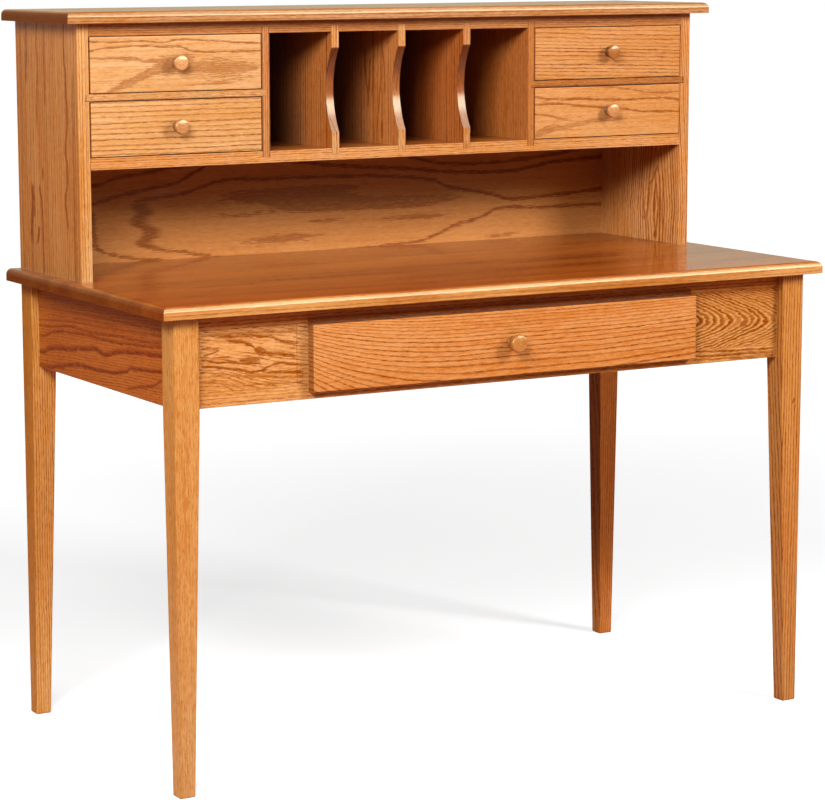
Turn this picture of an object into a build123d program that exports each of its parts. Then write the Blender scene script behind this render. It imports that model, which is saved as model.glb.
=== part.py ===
"""Shaker sewing desk: a four-legged writing table with one wide drawer, and a
low gallery (hutch) on its top with four small drawers and four cubbies.

Millimetres.  +X is to the sitter's right, +Y is towards the back, +Z is up.
The origin is on the floor, under the middle of the object's bounding box.
"""

import os
from math import asin, cos, sin

from build123d import *

os.makedirs("parts", exist_ok=True)

# ---------------------------------------------------------------- dimensions
# Table top
top_w = 1219.2          # length of the table top (48 in)
top_d = 611.0           # depth of the table top
top_t = 20.0            # thickness of the table top
top_round = 9.5         # round-over on the front and the two ends
desk_h = 758.0          # floor to writing surface

# Legs
leg_top = 42.0          # square section above the taper
leg_foot = 26.0         # square section at the floor
leg_ease = 1.4          # eased long arrises
end_overhang = 24.6     # table top past the legs, each end
front_overhang = 19.5   # table top past the front legs
back_overhang = 3.7     # table top past the rear legs

# Aprons
apron_t = 20.0
apron_bottom = 596.6    # floor to lower edge of the aprons
front_setback = 15.8    # apron face behind the front leg face
side_setback = 12.5     # apron face inside the outer leg face
tenon_l = 12.0
tenon_t = 10.0
tenon_shoulder = 14.0   # tenon is this much lower than the apron, each edge

# Wide drawer under the top
wide_front_x0, wide_front_x1 = -350.3, 364.8   # overlay front, hung a little to the right
wide_front_z0, wide_front_z1 = 608.5, 713.5
wide_front_t = 16.5
wide_proud = 1.1        # overlay front ahead of the leg faces
wide_gap = 0.4          # overlay front to apron when shut
wide_hole_x = 337.0     # half width of the hole in the apron
wide_hole_z0, wide_hole_z1 = 619.6, 705.6
wide_box_x = 334.0      # half width of the drawer box
wide_box_z0, wide_box_z1 = 622.0, 702.0
wide_box_back = 180.0   # rear end of the drawer sides
wide_side_t = 12.0

# Gallery
gal_half = 585.5        # half width over the sides
gal_side_t = 20.0
gal_front = 53.2        # front edges of sides, shelf, rails and partitions
gal_back = 303.8        # rear face
gal_back_t = 6.0
gal_shelf_z0, gal_shelf_z1 = 935.1, 954.1
gal_sub_z0, gal_sub_z1 = 1144.9, 1165.0
gal_top_t = 18.2
gal_top_front = 31.3
gal_top_round = 9.0
dust_z0, dust_z1 = 1043.0, 1054.3              # board between the two small drawers
part_in, part_out = 247.4, 261.6               # full partitions, inner and outer faces
div_t = 14.0
div_x = 126.2                                  # centre of the outer cubby dividers
scoop_from_edge = 26.0                         # straight part above and below the scoop
scoop_depth = 20.0
housing = 10.0                                 # depth of the dadoes in shelf and sub-top

# Small drawers
small_gap = 1.3
small_front_t = 19.0
small_side_t = 10.0
small_tail = 12.0       # length of the dovetails let into the front
knob_reach_small, knob_r_small = 20.5, 12.5
knob_reach_wide, knob_r_wide = 25.0, 14.7

# ------------------------------------------------------------- derived lines
y_front = (knob_reach_wide + wide_proud - front_overhang - top_d) / 2
y_back = y_front + top_d
leg_x = top_w / 2 - end_overhang               # outer face of the legs
leg_yf = y_front + front_overhang              # front face of the front legs
leg_yb = y_back - back_overhang                # rear face of the rear legs
under_top = desk_h - top_t
gal_top_z1 = gal_sub_z1 + gal_top_t
back_face = gal_back - gal_back_t              # front face of the gallery's back panel
gal_in = gal_half - gal_side_t

fa_y0 = leg_yf + front_setback                 # front apron, outer and inner face
fa_y1 = fa_y0 + apron_t
ra_y1 = leg_yb - side_setback                  # rear apron, outer and inner face
ra_y0 = ra_y1 - apron_t
sa_x1 = leg_x - side_setback                   # side apron, outer and inner face
sa_x0 = sa_x1 - apron_t
leg_in_x = leg_x - leg_top
leg_in_yf = leg_yf + leg_top
leg_in_yb = leg_yb - leg_top


def block(x0, x1, y0, y1, z0, z1, mode=Mode.ADD):
    """Square-edged block between two corners, added to the part being built."""
    with Locations(((x0 + x1) / 2, (y0 + y1) / 2, (z0 + z1) / 2)):
        Box(abs(x1 - x0), abs(y1 - y0), abs(z1 - z0), mode=mode)


def prism_x(points, x0, x1, mode=Mode.ADD):
    """Prism along X whose section is a polygon of (y, z) points."""
    with BuildSketch(Plane.YZ.offset(min(x0, x1)), mode=Mode.PRIVATE) as section:
        with BuildLine():
            Polyline(*points, close=True)
        make_face()
    extrude(section.sketch, amount=abs(x1 - x0), mode=mode)


def finish(part, name):
    """Label a finished piece and write it out."""
    part.label = name
    export_step(part, f"parts/{name}.step")
    box = part.bounding_box()
    print(
        f"{name:26s} solids {len(part.solids()):2d}  "
        f"x {box.min.X:8.2f} {box.max.X:8.2f}  y {box.min.Y:8.2f} {box.max.Y:8.2f}  "
        f"z {box.min.Z:8.2f} {box.max.Z:8.2f}"
    )


# ------------------------------------------------------------------ fixings
# Flat-head wood screw, 4 mm shank and 16 mm long, drawn point up (+Z).
screw_l, screw_d, screw_head, screw_head_h = 16.0, 4.0, 8.0, 2.4
with BuildPart() as screw:
    with BuildSketch(Plane.XZ):
        with BuildLine():
            Polyline(
                (0, 0),
                (screw_head / 2, 0),
                (screw_head / 2, 0.4),
                (screw_d / 2, screw_head_h),
                (screw_d / 2, screw_l - 3.5),
                (0.3, screw_l),
                (0, screw_l),
                close=True,
            )
        make_face()
    revolve(axis=Axis.Z)
    # cross recess in the head
    block(-2.0, 2.0, -0.45, 0.45, 0, 1.1, Mode.SUBTRACT)
    block(-0.45, 0.45, -2.0, 2.0, 0, 1.1, Mode.SUBTRACT)
# The same screw with a plain head: the hole it sits in.
with BuildPart() as screw_hole:
    with BuildSketch(Plane.XZ):
        with BuildLine():
            Polyline(
                (0, 0),
                (screw_head / 2, 0),
                (screw_head / 2, 0.4),
                (screw_d / 2, screw_head_h),
                (screw_d / 2, screw_l - 3.5),
                (0.3, screw_l),
                (0, screw_l),
                close=True,
            )
        make_face()
    revolve(axis=Axis.Z)

# Figure-eight table-top fasteners: one disc is let into the top edge of the
# apron, the other lies under the table top.  (x, y, angle) of the apron disc;
# the angle points to the disc under the top.
clip_r, clip_t, clip_pitch = 9.5, 2.5, 17.0
clip_places = [
    (-440.0, fa_y1 - 8.0, 90),
    (0.0, fa_y1 - 8.0, 90),
    (440.0, fa_y1 - 8.0, 90),
    (-440.0, ra_y0 + 8.0, -90),
    (0.0, ra_y0 + 8.0, -90),
    (440.0, ra_y0 + 8.0, -90),
    (-(sa_x0 + 8.0), 10.0, 0),
    (sa_x0 + 8.0, 10.0, 180),
]


def clip_frame(place):
    x, y, angle = place
    return Plane(origin=(x, y, under_top - clip_t), z_dir=(0, 0, 1)).rotated((0, 0, angle))


def screw_down(x, y, z):
    """Plane for a screw whose head is at z and whose point is below it."""
    return Plane(origin=(x, y, z), x_dir=(1, 0, 0), z_dir=(0, 0, -1))


clip_screws = []        # planes of the screws that hold the clips
for place in clip_places:
    frame = clip_frame(place)
    inner = frame.from_local_coords((clip_pitch, 0, 0))
    outer = frame.from_local_coords((0, 0, clip_t))
    clip_screws.append(Plane(origin=(inner.X, inner.Y, inner.Z), z_dir=(0, 0, 1)))
    clip_screws.append(screw_down(outer.X, outer.Y, outer.Z))

# Screws through the back panel into the sides, the shelf and the sub-top.
panel_screws = []
for sx in (-1, 1):
    for z in (800.0, 910.0, 1010.0, 1120.0):
        panel_screws.append(
            Plane(origin=(sx * (gal_in + 5.0), gal_back, z), x_dir=(1, 0, 0), z_dir=(0, -1, 0))
        )
for x in (-420.0, -190.0, 190.0, 420.0):
    panel_screws.append(
        Plane(origin=(x, gal_back, (gal_shelf_z0 + gal_shelf_z1) / 2), x_dir=(1, 0, 0), z_dir=(0, -1, 0))
    )
    panel_screws.append(
        Plane(origin=(x, gal_back, (gal_sub_z0 + gal_sub_z1) / 2), x_dir=(1, 0, 0), z_dir=(0, -1, 0))
    )

all_screws = clip_screws + panel_screws

# Dowels that key the gallery to the table top.
dowel_r, dowel_l = 4.0, 26.0
dowel_places = [(sx * (gal_half - 10.0), y) for sx in (-1, 1) for y in (95.0, 255.0)]
dowel_z0 = desk_h - 12.0

with BuildPart() as desktop_clips:
    for place in clip_places:
        with BuildSketch(clip_frame(place)) as outline:
            Circle(clip_r)
            with Locations((clip_pitch, 0)):
                Circle(clip_r)
            with Locations((clip_pitch / 2, 0)):
                Rectangle(clip_pitch * 0.45, clip_r * 1.25)
        extrude(amount=clip_t)
    for plane in clip_screws:
        add(screw_hole.part.moved(plane.location), mode=Mode.SUBTRACT)
finish(desktop_clips.part, "desktop_clips")

with BuildPart() as wood_screws:
    for plane in all_screws:
        add(screw.part.moved(plane.location))
finish(wood_screws.part, "wood_screws")

with BuildPart() as hutch_dowels:
    for x, y in dowel_places:
        with BuildSketch(Plane.XY.offset(dowel_z0)):
            with Locations((x, y)):
                Circle(dowel_r)
        extrude(amount=dowel_l)
    chamfer(hutch_dowels.edges().filter_by(GeomType.CIRCLE), 0.8)
finish(hutch_dowels.part, "hutch_dowels")

# ------------------------------------------------------------------ desktop
with BuildPart() as desktop:
    with BuildSketch(Plane.XY.offset(under_top)):
        with Locations((0, (y_front + y_back) / 2)):
            Rectangle(top_w, top_d)
    extrude(amount=top_t)
    upper = desktop.edges().group_by(Axis.Z)[-1]
    rounded = upper.filter_by(Axis.Y) + upper.filter_by(Axis.X).sort_by(Axis.Y)[:1]
    fillet(rounded, top_round)
    lower = desktop.edges().group_by(Axis.Z)[0]
    chamfer(lower.filter_by(Axis.Y) + lower.filter_by(Axis.X).sort_by(Axis.Y)[:1], 0.6)
    for plane in clip_screws:
        add(screw_hole.part.moved(plane.location), mode=Mode.SUBTRACT)
    for x, y in dowel_places:
        with Locations((x, y, desk_h)):
            Hole(dowel_r, depth=12.0)
finish(desktop.part, "desktop")


# --------------------------------------------------------------------- legs
def leg_sketch_centre(x_outer, y_outer, side):
    sx = 1 if x_outer > 0 else -1
    sy = 1 if y_outer > 0 else -1
    return (x_outer - sx * side / 2, y_outer - sy * side / 2)


def make_leg(x_outer, y_outer, apron_y0, name):
    """Leg with a square head and a taper on its two inner faces."""
    sx = 1 if x_outer > 0 else -1
    sy = 1 if y_outer > 0 else -1
    with BuildPart() as leg:
        with BuildSketch(Plane.XY.offset(apron_bottom - 6.0)):
            with Locations(leg_sketch_centre(x_outer, y_outer, leg_top)):
                RectangleRounded(leg_top, leg_top, leg_ease)
        extrude(amount=under_top - apron_bottom + 6.0)
        with BuildSketch(Plane.XY.offset(1.5)):
            with Locations(leg_sketch_centre(x_outer, y_outer, leg_foot)):
                RectangleRounded(leg_foot, leg_foot, leg_ease)
        with BuildSketch(Plane.XY.offset(apron_bottom - 6.0)):
            with Locations(leg_sketch_centre(x_outer, y_outer, leg_top)):
                RectangleRounded(leg_top, leg_top, leg_ease)
        loft()
        # the foot is relieved a little all round
        cx, cy = leg_sketch_centre(x_outer, y_outer, leg_foot)
        with BuildSketch(Plane.XY):
            with Locations((cx, cy)):
                RectangleRounded(leg_foot - 2.4, leg_foot - 2.4, leg_ease)
        with BuildSketch(Plane.XY.offset(1.5)):
            with Locations((cx, cy)):
                RectangleRounded(leg_foot, leg_foot, leg_ease)
        loft()
        # mortise for the long apron
        xi = x_outer - sx * leg_top
        block(
            xi,
            xi + sx * tenon_l,
            apron_y0 + (apron_t - tenon_t) / 2,
            apron_y0 + (apron_t + tenon_t) / 2,
            apron_bottom + tenon_shoulder,
            under_top - tenon_shoulder,
            Mode.SUBTRACT,
        )
        # mortise for the side apron
        yi = y_outer - sy * leg_top
        block(
            sx * (sa_x0 + (apron_t - tenon_t) / 2),
            sx * (sa_x0 + (apron_t + tenon_t) / 2),
            yi,
            yi + sy * tenon_l,
            apron_bottom + tenon_shoulder,
            under_top - tenon_shoulder,
            Mode.SUBTRACT,
        )
    finish(leg.part, name)
    return leg.part


legs = [
    make_leg(-leg_x, leg_yf, fa_y0, "leg_front_left"),
    make_leg(leg_x, leg_yf, fa_y0, "leg_front_right"),
    make_leg(-leg_x, leg_yb, ra_y0, "leg_rear_left"),
    make_leg(leg_x, leg_yb, ra_y0, "leg_rear_right"),
]

# ------------------------------------------------------------------- aprons
rail_t = 18.0                       # drawer-hanging rails
rail_x0 = wide_box_x + 1.5
rail_x1 = rail_x0 + rail_t
rail_z0, rail_z1 = 618.0, 704.0
rail_let = 5.0                      # rails are let into the aprons
rail_y0, rail_y1 = fa_y1 - rail_let, ra_y0 + rail_let


def recess_clips():
    """Sinkings in the apron's top edge for the figure-eight fasteners."""
    add(desktop_clips.part, mode=Mode.SUBTRACT)
    for plane in clip_screws:
        add(screw_hole.part.moved(plane.location), mode=Mode.SUBTRACT)


with BuildPart() as front_apron:
    block(-leg_in_x, leg_in_x, fa_y0, fa_y1, apron_bottom, under_top)
    lower = front_apron.edges().filter_by(Axis.X).group_by(Axis.Z)[0]
    chamfer(lower, 0.8)
    for sx in (-1, 1):
        block(
            sx * leg_in_x,
            sx * (leg_in_x + tenon_l),
            fa_y0 + (apron_t - tenon_t) / 2,
            fa_y0 + (apron_t + tenon_t) / 2,
            apron_bottom + tenon_shoulder,
            under_top - tenon_shoulder,
        )
        block(
            sx * rail_x0, sx * rail_x1, rail_y0, fa_y1, rail_z0, rail_z1, Mode.SUBTRACT
        )
    block(
        -wide_hole_x, wide_hole_x, fa_y0, fa_y1, wide_hole_z0, wide_hole_z1, Mode.SUBTRACT
    )
    recess_clips()
finish(front_apron.part, "front_apron")

with BuildPart() as rear_apron:
    block(-leg_in_x, leg_in_x, ra_y0, ra_y1, apron_bottom, under_top)
    chamfer(rear_apron.edges().filter_by(Axis.X).group_by(Axis.Z)[0], 0.8)
    for sx in (-1, 1):
        block(
            sx * leg_in_x,
            sx * (leg_in_x + tenon_l),
            ra_y0 + (apron_t - tenon_t) / 2,
            ra_y0 + (apron_t + tenon_t) / 2,
            apron_bottom + tenon_shoulder,
            under_top - tenon_shoulder,
        )
        block(
            sx * rail_x0, sx * rail_x1, ra_y0, rail_y1, rail_z0, rail_z1, Mode.SUBTRACT
        )
    recess_clips()
finish(rear_apron.part, "rear_apron")


def make_side_apron(sx, name):
    with BuildPart() as apron:
        block(sx * sa_x0, sx * sa_x1, leg_in_yf, leg_in_yb, apron_bottom, under_top)
        chamfer(apron.edges().filter_by(Axis.Y).group_by(Axis.Z)[0], 0.8)
        for y0, y1 in ((leg_in_yf - tenon_l, leg_in_yf), (leg_in_yb, leg_in_yb + tenon_l)):
            block(
                sx * (sa_x0 + (apron_t - tenon_t) / 2),
                sx * (sa_x0 + (apron_t + tenon_t) / 2),
                y0,
                y1,
                apron_bottom + tenon_shoulder,
                under_top - tenon_shoulder,
            )
        recess_clips()
    finish(apron.part, name)


make_side_apron(-1, "left_apron")
make_side_apron(1, "right_apron")

# Three-cornered glue blocks behind each leg, between the aprons.
with BuildPart() as corner_blocks:
    for sx in (-1, 1):
        for y_in, y_leg, sy in ((fa_y1, leg_in_yf, 1), (ra_y0, leg_in_yb, -1)):
            with BuildSketch(Plane.XY.offset(660.0)):
                with BuildLine():
                    Polyline(
                        (sx * leg_in_x, y_leg),
                        (sx * leg_in_x, y_in),
                        (sx * (leg_in_x - 44.0), y_in),
                        (sx * sa_x0, y_leg + sy * 50.0 - sy * abs(y_leg - y_in)),
                        (sx * sa_x0, y_leg),
                        close=True,
                    )
                make_face()
            extrude(amount=50.0)
finish(corner_blocks.part, "corner_blocks")


# ------------------------------------------------- rails that hang the drawer
tongue_z0, tongue_z1 = 656.5, 667.5
groove_z0, groove_z1 = 656.0, 668.0
groove_deep = 6.0


def make_rail(sx, name):
    with BuildPart() as rail:
        block(sx * rail_x0, sx * rail_x1, rail_y0, rail_y1, rail_z0, rail_z1)
        # tongue that runs in the groove of the drawer side
        block(
            sx * (wide_box_x - groove_deep + 0.5),
            sx * rail_x0,
            fa_y1 + 1.0,
            wide_box_back - 6.0,
            tongue_z0,
            tongue_z1,
        )
        tip = rail.edges().filter_by(Axis.Y).sort_by(lambda e: abs(e.center().X))[:2]
        chamfer(tip, 1.0)
    finish(rail.part, name)


make_rail(-1, "drawer_rail_left")
make_rail(1, "drawer_rail_right")

# --------------------------------------------------------------- wide drawer
pin_tip, pin_base = 2.6, 4.6        # half widths of the pins between dovetails


def pin_points(y_tip, y_base, z0, z1, count):
    """Pins of a dovetailed corner as (y, z) polygons, half pins at both ends."""
    pins = []
    for i in range(count + 1):
        z = z0 + (z1 - z0) * i / count
        low_t, low_b = (z, z) if i == 0 else (z - pin_tip, z - pin_base)
        high_t, high_b = (z, z) if i == count else (z + pin_tip, z + pin_base)
        pins.append([(y_tip, low_t), (y_base, low_b), (y_base, high_b), (y_tip, high_t)])
    return pins


wf_y1 = fa_y0 - wide_gap
wf_y0 = wf_y1 - wide_front_t
wide_pins = pin_points(wf_y1, wf_y1 + wide_side_t, wide_box_z0, wide_box_z1, 3)
wide_floor_z0, wide_floor_z1, wide_floor_in = 628.0, 634.0, 6.0
wide_screws = [
    Plane(origin=(x, wf_y1 + wide_side_t, z), x_dir=(1, 0, 0), z_dir=(0, -1, 0))
    for x in (-250.0, -90.0, 105.0, 250.0)
    for z in (645.0, 685.0)
]
knob_x = (wide_front_x0 + wide_front_x1) / 2
knob_z = (wide_front_z0 + wide_front_z1) / 2 + 0.7


def make_knob(x, y, z, reach, radius, tenon, name):
    """Turned knob, axis along Y: a foot, a shallow neck, a flared head, and a tenon into the drawer front."""
    kr, kt = radius / 12.5, reach / 20.5
    # the crown is part of a sphere, 10.2 mm out and 1 mm deep before scaling
    crown_out, crown_deep = 10.2 * kr, reach - 19.5 * kt
    crown_r = (crown_out**2 + crown_deep**2) / (2 * crown_deep)
    half = asin(crown_out / crown_r) / 2
    with BuildPart() as knob:
        with BuildSketch(Plane(origin=(x, y, z), x_dir=(1, 0, 0), z_dir=(0, 0, 1))):
            with BuildLine():
                Polyline((0, tenon), (4.5, tenon), (4.5, 0), (8.5 * kr, 0))
                foot = ThreePointArc(
                    (8.5 * kr, 0), (9.1 * kr, -1.5 * kt), (8.5 * kr, -3.0 * kt)
                )
                stem = Spline(
                    foot @ 1,
                    (7.5 * kr, -5.0 * kt),
                    (7.4 * kr, -7.2 * kt),
                    (8.6 * kr, -10.0 * kt),
                    (11.1 * kr, -12.9 * kt),
                    (12.2 * kr, -14.5 * kt),
                )
                rim = ThreePointArc(
                    stem @ 1, (12.5 * kr, -15.8 * kt), (12.15 * kr, -17.2 * kt)
                )
                shoulder = ThreePointArc(
                    rim @ 1, (11.4 * kr, -18.7 * kt), (10.2 * kr, -19.5 * kt)
                )
                ThreePointArc(
                    shoulder @ 1,
                    (crown_r * sin(half), crown_r - crown_r * cos(half) - reach),
                    (0, -reach),
                )
                Line((0, -reach), (0, tenon))
            make_face()
        revolve(axis=Axis((x, y, z), (0, 1, 0)))
    finish(knob.part, name)


with BuildPart() as wide_front:
    block(wide_front_x0, wide_front_x1, wf_y0, wf_y1, wide_front_z0, wide_front_z1)
    fillet(wide_front.faces().sort_by(Axis.Y)[0].edges(), 1.6)
    for plane in wide_screws:
        add(screw_hole.part.moved(plane.location), mode=Mode.SUBTRACT)
    with BuildSketch(Plane.XZ.offset(-wf_y1)):
        with Locations((knob_x, knob_z)):
            Circle(4.5)
    extrude(amount=wide_front_t, mode=Mode.SUBTRACT)
finish(wide_front.part, "wide_drawer_front")

with BuildPart() as wide_inner:
    inner = wide_box_x - wide_side_t
    block(-inner, inner, wf_y1, wf_y1 + wide_side_t, wide_box_z0, wide_box_z1)
    for sx in (-1, 1):
        for points in wide_pins:
            prism_x(points, sx * inner, sx * wide_box_x)
    block(
        -inner,
        inner,
        wf_y1 + wide_side_t - wide_floor_in,
        wf_y1 + wide_side_t,
        wide_floor_z0,
        wide_floor_z1,
        Mode.SUBTRACT,
    )
    for plane in wide_screws:
        add(screw_hole.part.moved(plane.location), mode=Mode.SUBTRACT)
finish(wide_inner.part, "wide_drawer_inner_front")


def make_wide_side(sx, name):
    outer, inner = sx * wide_box_x, sx * (wide_box_x - wide_side_t)
    with BuildPart() as side:
        block(inner, outer, wf_y1, wide_box_back, wide_box_z0, wide_box_z1)
        for points in wide_pins:
            prism_x(points, inner, outer, Mode.SUBTRACT)
        # groove for the floor
        block(
            inner,
            inner + sx * wide_floor_in,
            wf_y1 + wide_side_t,
            wide_box_back,
            wide_floor_z0,
            wide_floor_z1,
            Mode.SUBTRACT,
        )
        # groove for the hanging rail's tongue, open at the back
        block(
            outer - sx * groove_deep,
            outer,
            fa_y1 - 9.0,
            wide_box_back,
            groove_z0,
            groove_z1,
            Mode.SUBTRACT,
        )
        # housing for the back board
        block(
            inner,
            inner + sx * 5.0,
            wide_box_back - 20.0,
            wide_box_back - 8.0,
            wide_floor_z1,
            wide_box_z1,
            Mode.SUBTRACT,
        )
    finish(side.part, name)


make_wide_side(-1, "wide_drawer_side_left")
make_wide_side(1, "wide_drawer_side_right")

with BuildPart() as wide_back:
    reach = wide_box_x - wide_side_t + 5.0
    block(-reach, reach, wide_box_back - 20.0, wide_box_back - 8.0, wide_floor_z1, wide_box_z1)
finish(wide_back.part, "wide_drawer_back")

with BuildPart() as wide_floor:
    reach = wide_box_x - wide_side_t + wide_floor_in
    block(
        -reach,
        reach,
        wf_y1 + wide_side_t,
        wide_box_back - 1.0,
        wide_floor_z0,
        wide_floor_z1,
    )
    block(
        -(wide_box_x - wide_side_t),
        wide_box_x - wide_side_t,
        wf_y1 + wide_side_t - wide_floor_in,
        wf_y1 + wide_side_t,
        wide_floor_z0,
        wide_floor_z1,
    )
finish(wide_floor.part, "wide_drawer_bottom")

with BuildPart() as wide_drawer_screws:
    for plane in wide_screws:
        add(screw.part.moved(plane.location))
finish(wide_drawer_screws.part, "wide_drawer_screws")

make_knob(knob_x, wf_y0, knob_z, knob_reach_wide, knob_r_wide, wide_front_t, "wide_drawer_knob")

# ------------------------------------------------------------ gallery: sides
shelf_tongue = 8.0


def make_gallery_side(sx, name):
    outer, inner = sx * gal_half, sx * gal_in
    with BuildPart() as side:
        block(inner, outer, gal_front, gal_back, desk_h, gal_sub_z1)
        fillet(side.edges().filter_by(Axis.Z).sort_by(Axis.Y)[:2], 1.2)
        # rabbet for the back panel
        block(
            inner, inner + sx * 10.0, back_face, gal_back, desk_h, gal_sub_z1, Mode.SUBTRACT
        )
        # stopped dadoes for the shelf and the sub-top
        for z0, z1 in ((gal_shelf_z0, gal_shelf_z1), (gal_sub_z0, gal_sub_z1)):
            block(
                inner,
                inner + sx * shelf_tongue,
                gal_front + 14.0,
                back_face,
                z0,
                z1,
                Mode.SUBTRACT,
            )
        # through dado for the board between the drawers, seen from the front
        block(
            inner, inner + sx * 9.0, gal_front, back_face, dust_z0, dust_z1, Mode.SUBTRACT
        )
        for plane in panel_screws:
            if plane.origin.X * sx > gal_in:
                add(screw_hole.part.moved(plane.location), mode=Mode.SUBTRACT)
        for x, y in dowel_places:
            if x * sx > 0:
                with BuildSketch(Plane.XY.offset(desk_h)):
                    with Locations((x, y)):
                        Circle(dowel_r)
                extrude(amount=dowel_l - 12.0, mode=Mode.SUBTRACT)
    finish(side.part, name)


make_gallery_side(-1, "gallery_side_left")
make_gallery_side(1, "gallery_side_right")

divider_xs = (-div_x, 0.0, div_x)


def upright_slots(mode_z0, mode_z1):
    """Dadoes for the partitions and the cubby dividers."""
    for sx in (-1, 1):
        block(
            sx * part_in, sx * part_out, gal_front, back_face, mode_z0, mode_z1, Mode.SUBTRACT
        )
    for x in divider_xs:
        block(
            x - div_t / 2, x + div_t / 2, gal_front, back_face, mode_z0, mode_z1, Mode.SUBTRACT
        )


def cut_panel_screws(z0, z1):
    for plane in panel_screws:
        if abs(plane.origin.X) < gal_in and z0 < plane.origin.Z < z1:
            add(screw_hole.part.moved(plane.location), mode=Mode.SUBTRACT)


with BuildPart() as gallery_shelf:
    block(-gal_in, gal_in, gal_front, back_face, gal_shelf_z0, gal_shelf_z1)
    for sx in (-1, 1):
        block(
            sx * gal_in,
            sx * (gal_in + shelf_tongue),
            gal_front + 14.0,
            back_face,
            gal_shelf_z0,
            gal_shelf_z1,
        )
    upright_slots(gal_shelf_z1 - housing, gal_shelf_z1)
    cut_panel_screws(gal_shelf_z0, gal_shelf_z1)
finish(gallery_shelf.part, "gallery_shelf")

with BuildPart() as gallery_subtop:
    block(-gal_in, gal_in, gal_front, back_face, gal_sub_z0, gal_sub_z1)
    for sx in (-1, 1):
        block(
            sx * gal_in,
            sx * (gal_in + shelf_tongue),
            gal_front + 14.0,
            back_face,
            gal_sub_z0,
            gal_sub_z1,
        )
    upright_slots(gal_sub_z0, gal_sub_z0 + housing)
    cut_panel_screws(gal_sub_z0, gal_sub_z1)
finish(gallery_subtop.part, "gallery_subtop")

with BuildPart() as gallery_top:
    with BuildSketch(Plane.XY.offset(gal_sub_z1)):
        with Locations((0, (gal_top_front + gal_back) / 2)):
            Rectangle(top_w, gal_back - gal_top_front)
    extrude(amount=gal_top_t)
    upper = gallery_top.edges().group_by(Axis.Z)[-1]
    fillet(upper.filter_by(Axis.Y) + upper.filter_by(Axis.X).sort_by(Axis.Y)[:1], gal_top_round)
    lower = gallery_top.edges().group_by(Axis.Z)[0]
    chamfer(lower.filter_by(Axis.Y) + lower.filter_by(Axis.X).sort_by(Axis.Y)[:1], 0.6)
finish(gallery_top.part, "gallery_top")


def make_partition(sx, name):
    with BuildPart() as partition:
        block(
            sx * part_in,
            sx * part_out,
            gal_front,
            back_face,
            gal_shelf_z1 - housing,
            gal_sub_z0 + housing,
        )
        # dado for the board between the drawers
        block(
            sx * (part_out - 7.0), sx * part_out, gal_front, back_face, dust_z0, dust_z1,
            Mode.SUBTRACT,
        )
    finish(partition.part, name)


make_partition(-1, "partition_left")
make_partition(1, "partition_right")


def make_dust_shelf(sx, name):
    with BuildPart() as shelf:
        block(
            sx * (part_out - 7.0), sx * (gal_in + 9.0), gal_front, back_face, dust_z0, dust_z1
        )
    finish(shelf.part, name)


make_dust_shelf(-1, "dust_shelf_left")
make_dust_shelf(1, "dust_shelf_right")


def make_divider(x, name):
    """Cubby divider with a shallow round scoop in its front edge."""
    z0, z1 = gal_shelf_z1 - housing, gal_sub_z0 + housing
    s0, s1 = gal_shelf_z1 + scoop_from_edge, gal_sub_z0 - scoop_from_edge
    with BuildPart() as divider:
        with BuildSketch(Plane.YZ.offset(x - div_t / 2)):
            with BuildLine():
                lower = Polyline(
                    (gal_front, s0), (gal_front, z0), (back_face, z0), (back_face, z1),
                    (gal_front, z1), (gal_front, s1),
                )
                ThreePointArc(
                    lower @ 1, (gal_front + scoop_depth, (s0 + s1) / 2), lower @ 0
                )
            make_face()
        extrude(amount=div_t)
    finish(divider.part, name)


make_divider(-div_x, "divider_left")
make_divider(0.0, "divider_center")
make_divider(div_x, "divider_right")

with BuildPart() as gallery_back:
    block(-(gal_in + 10.0), gal_in + 10.0, back_face, gal_back, desk_h, gal_sub_z1)
    for plane in panel_screws:
        add(screw_hole.part.moved(plane.location), mode=Mode.SUBTRACT)
finish(gallery_back.part, "gallery_back")


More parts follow.
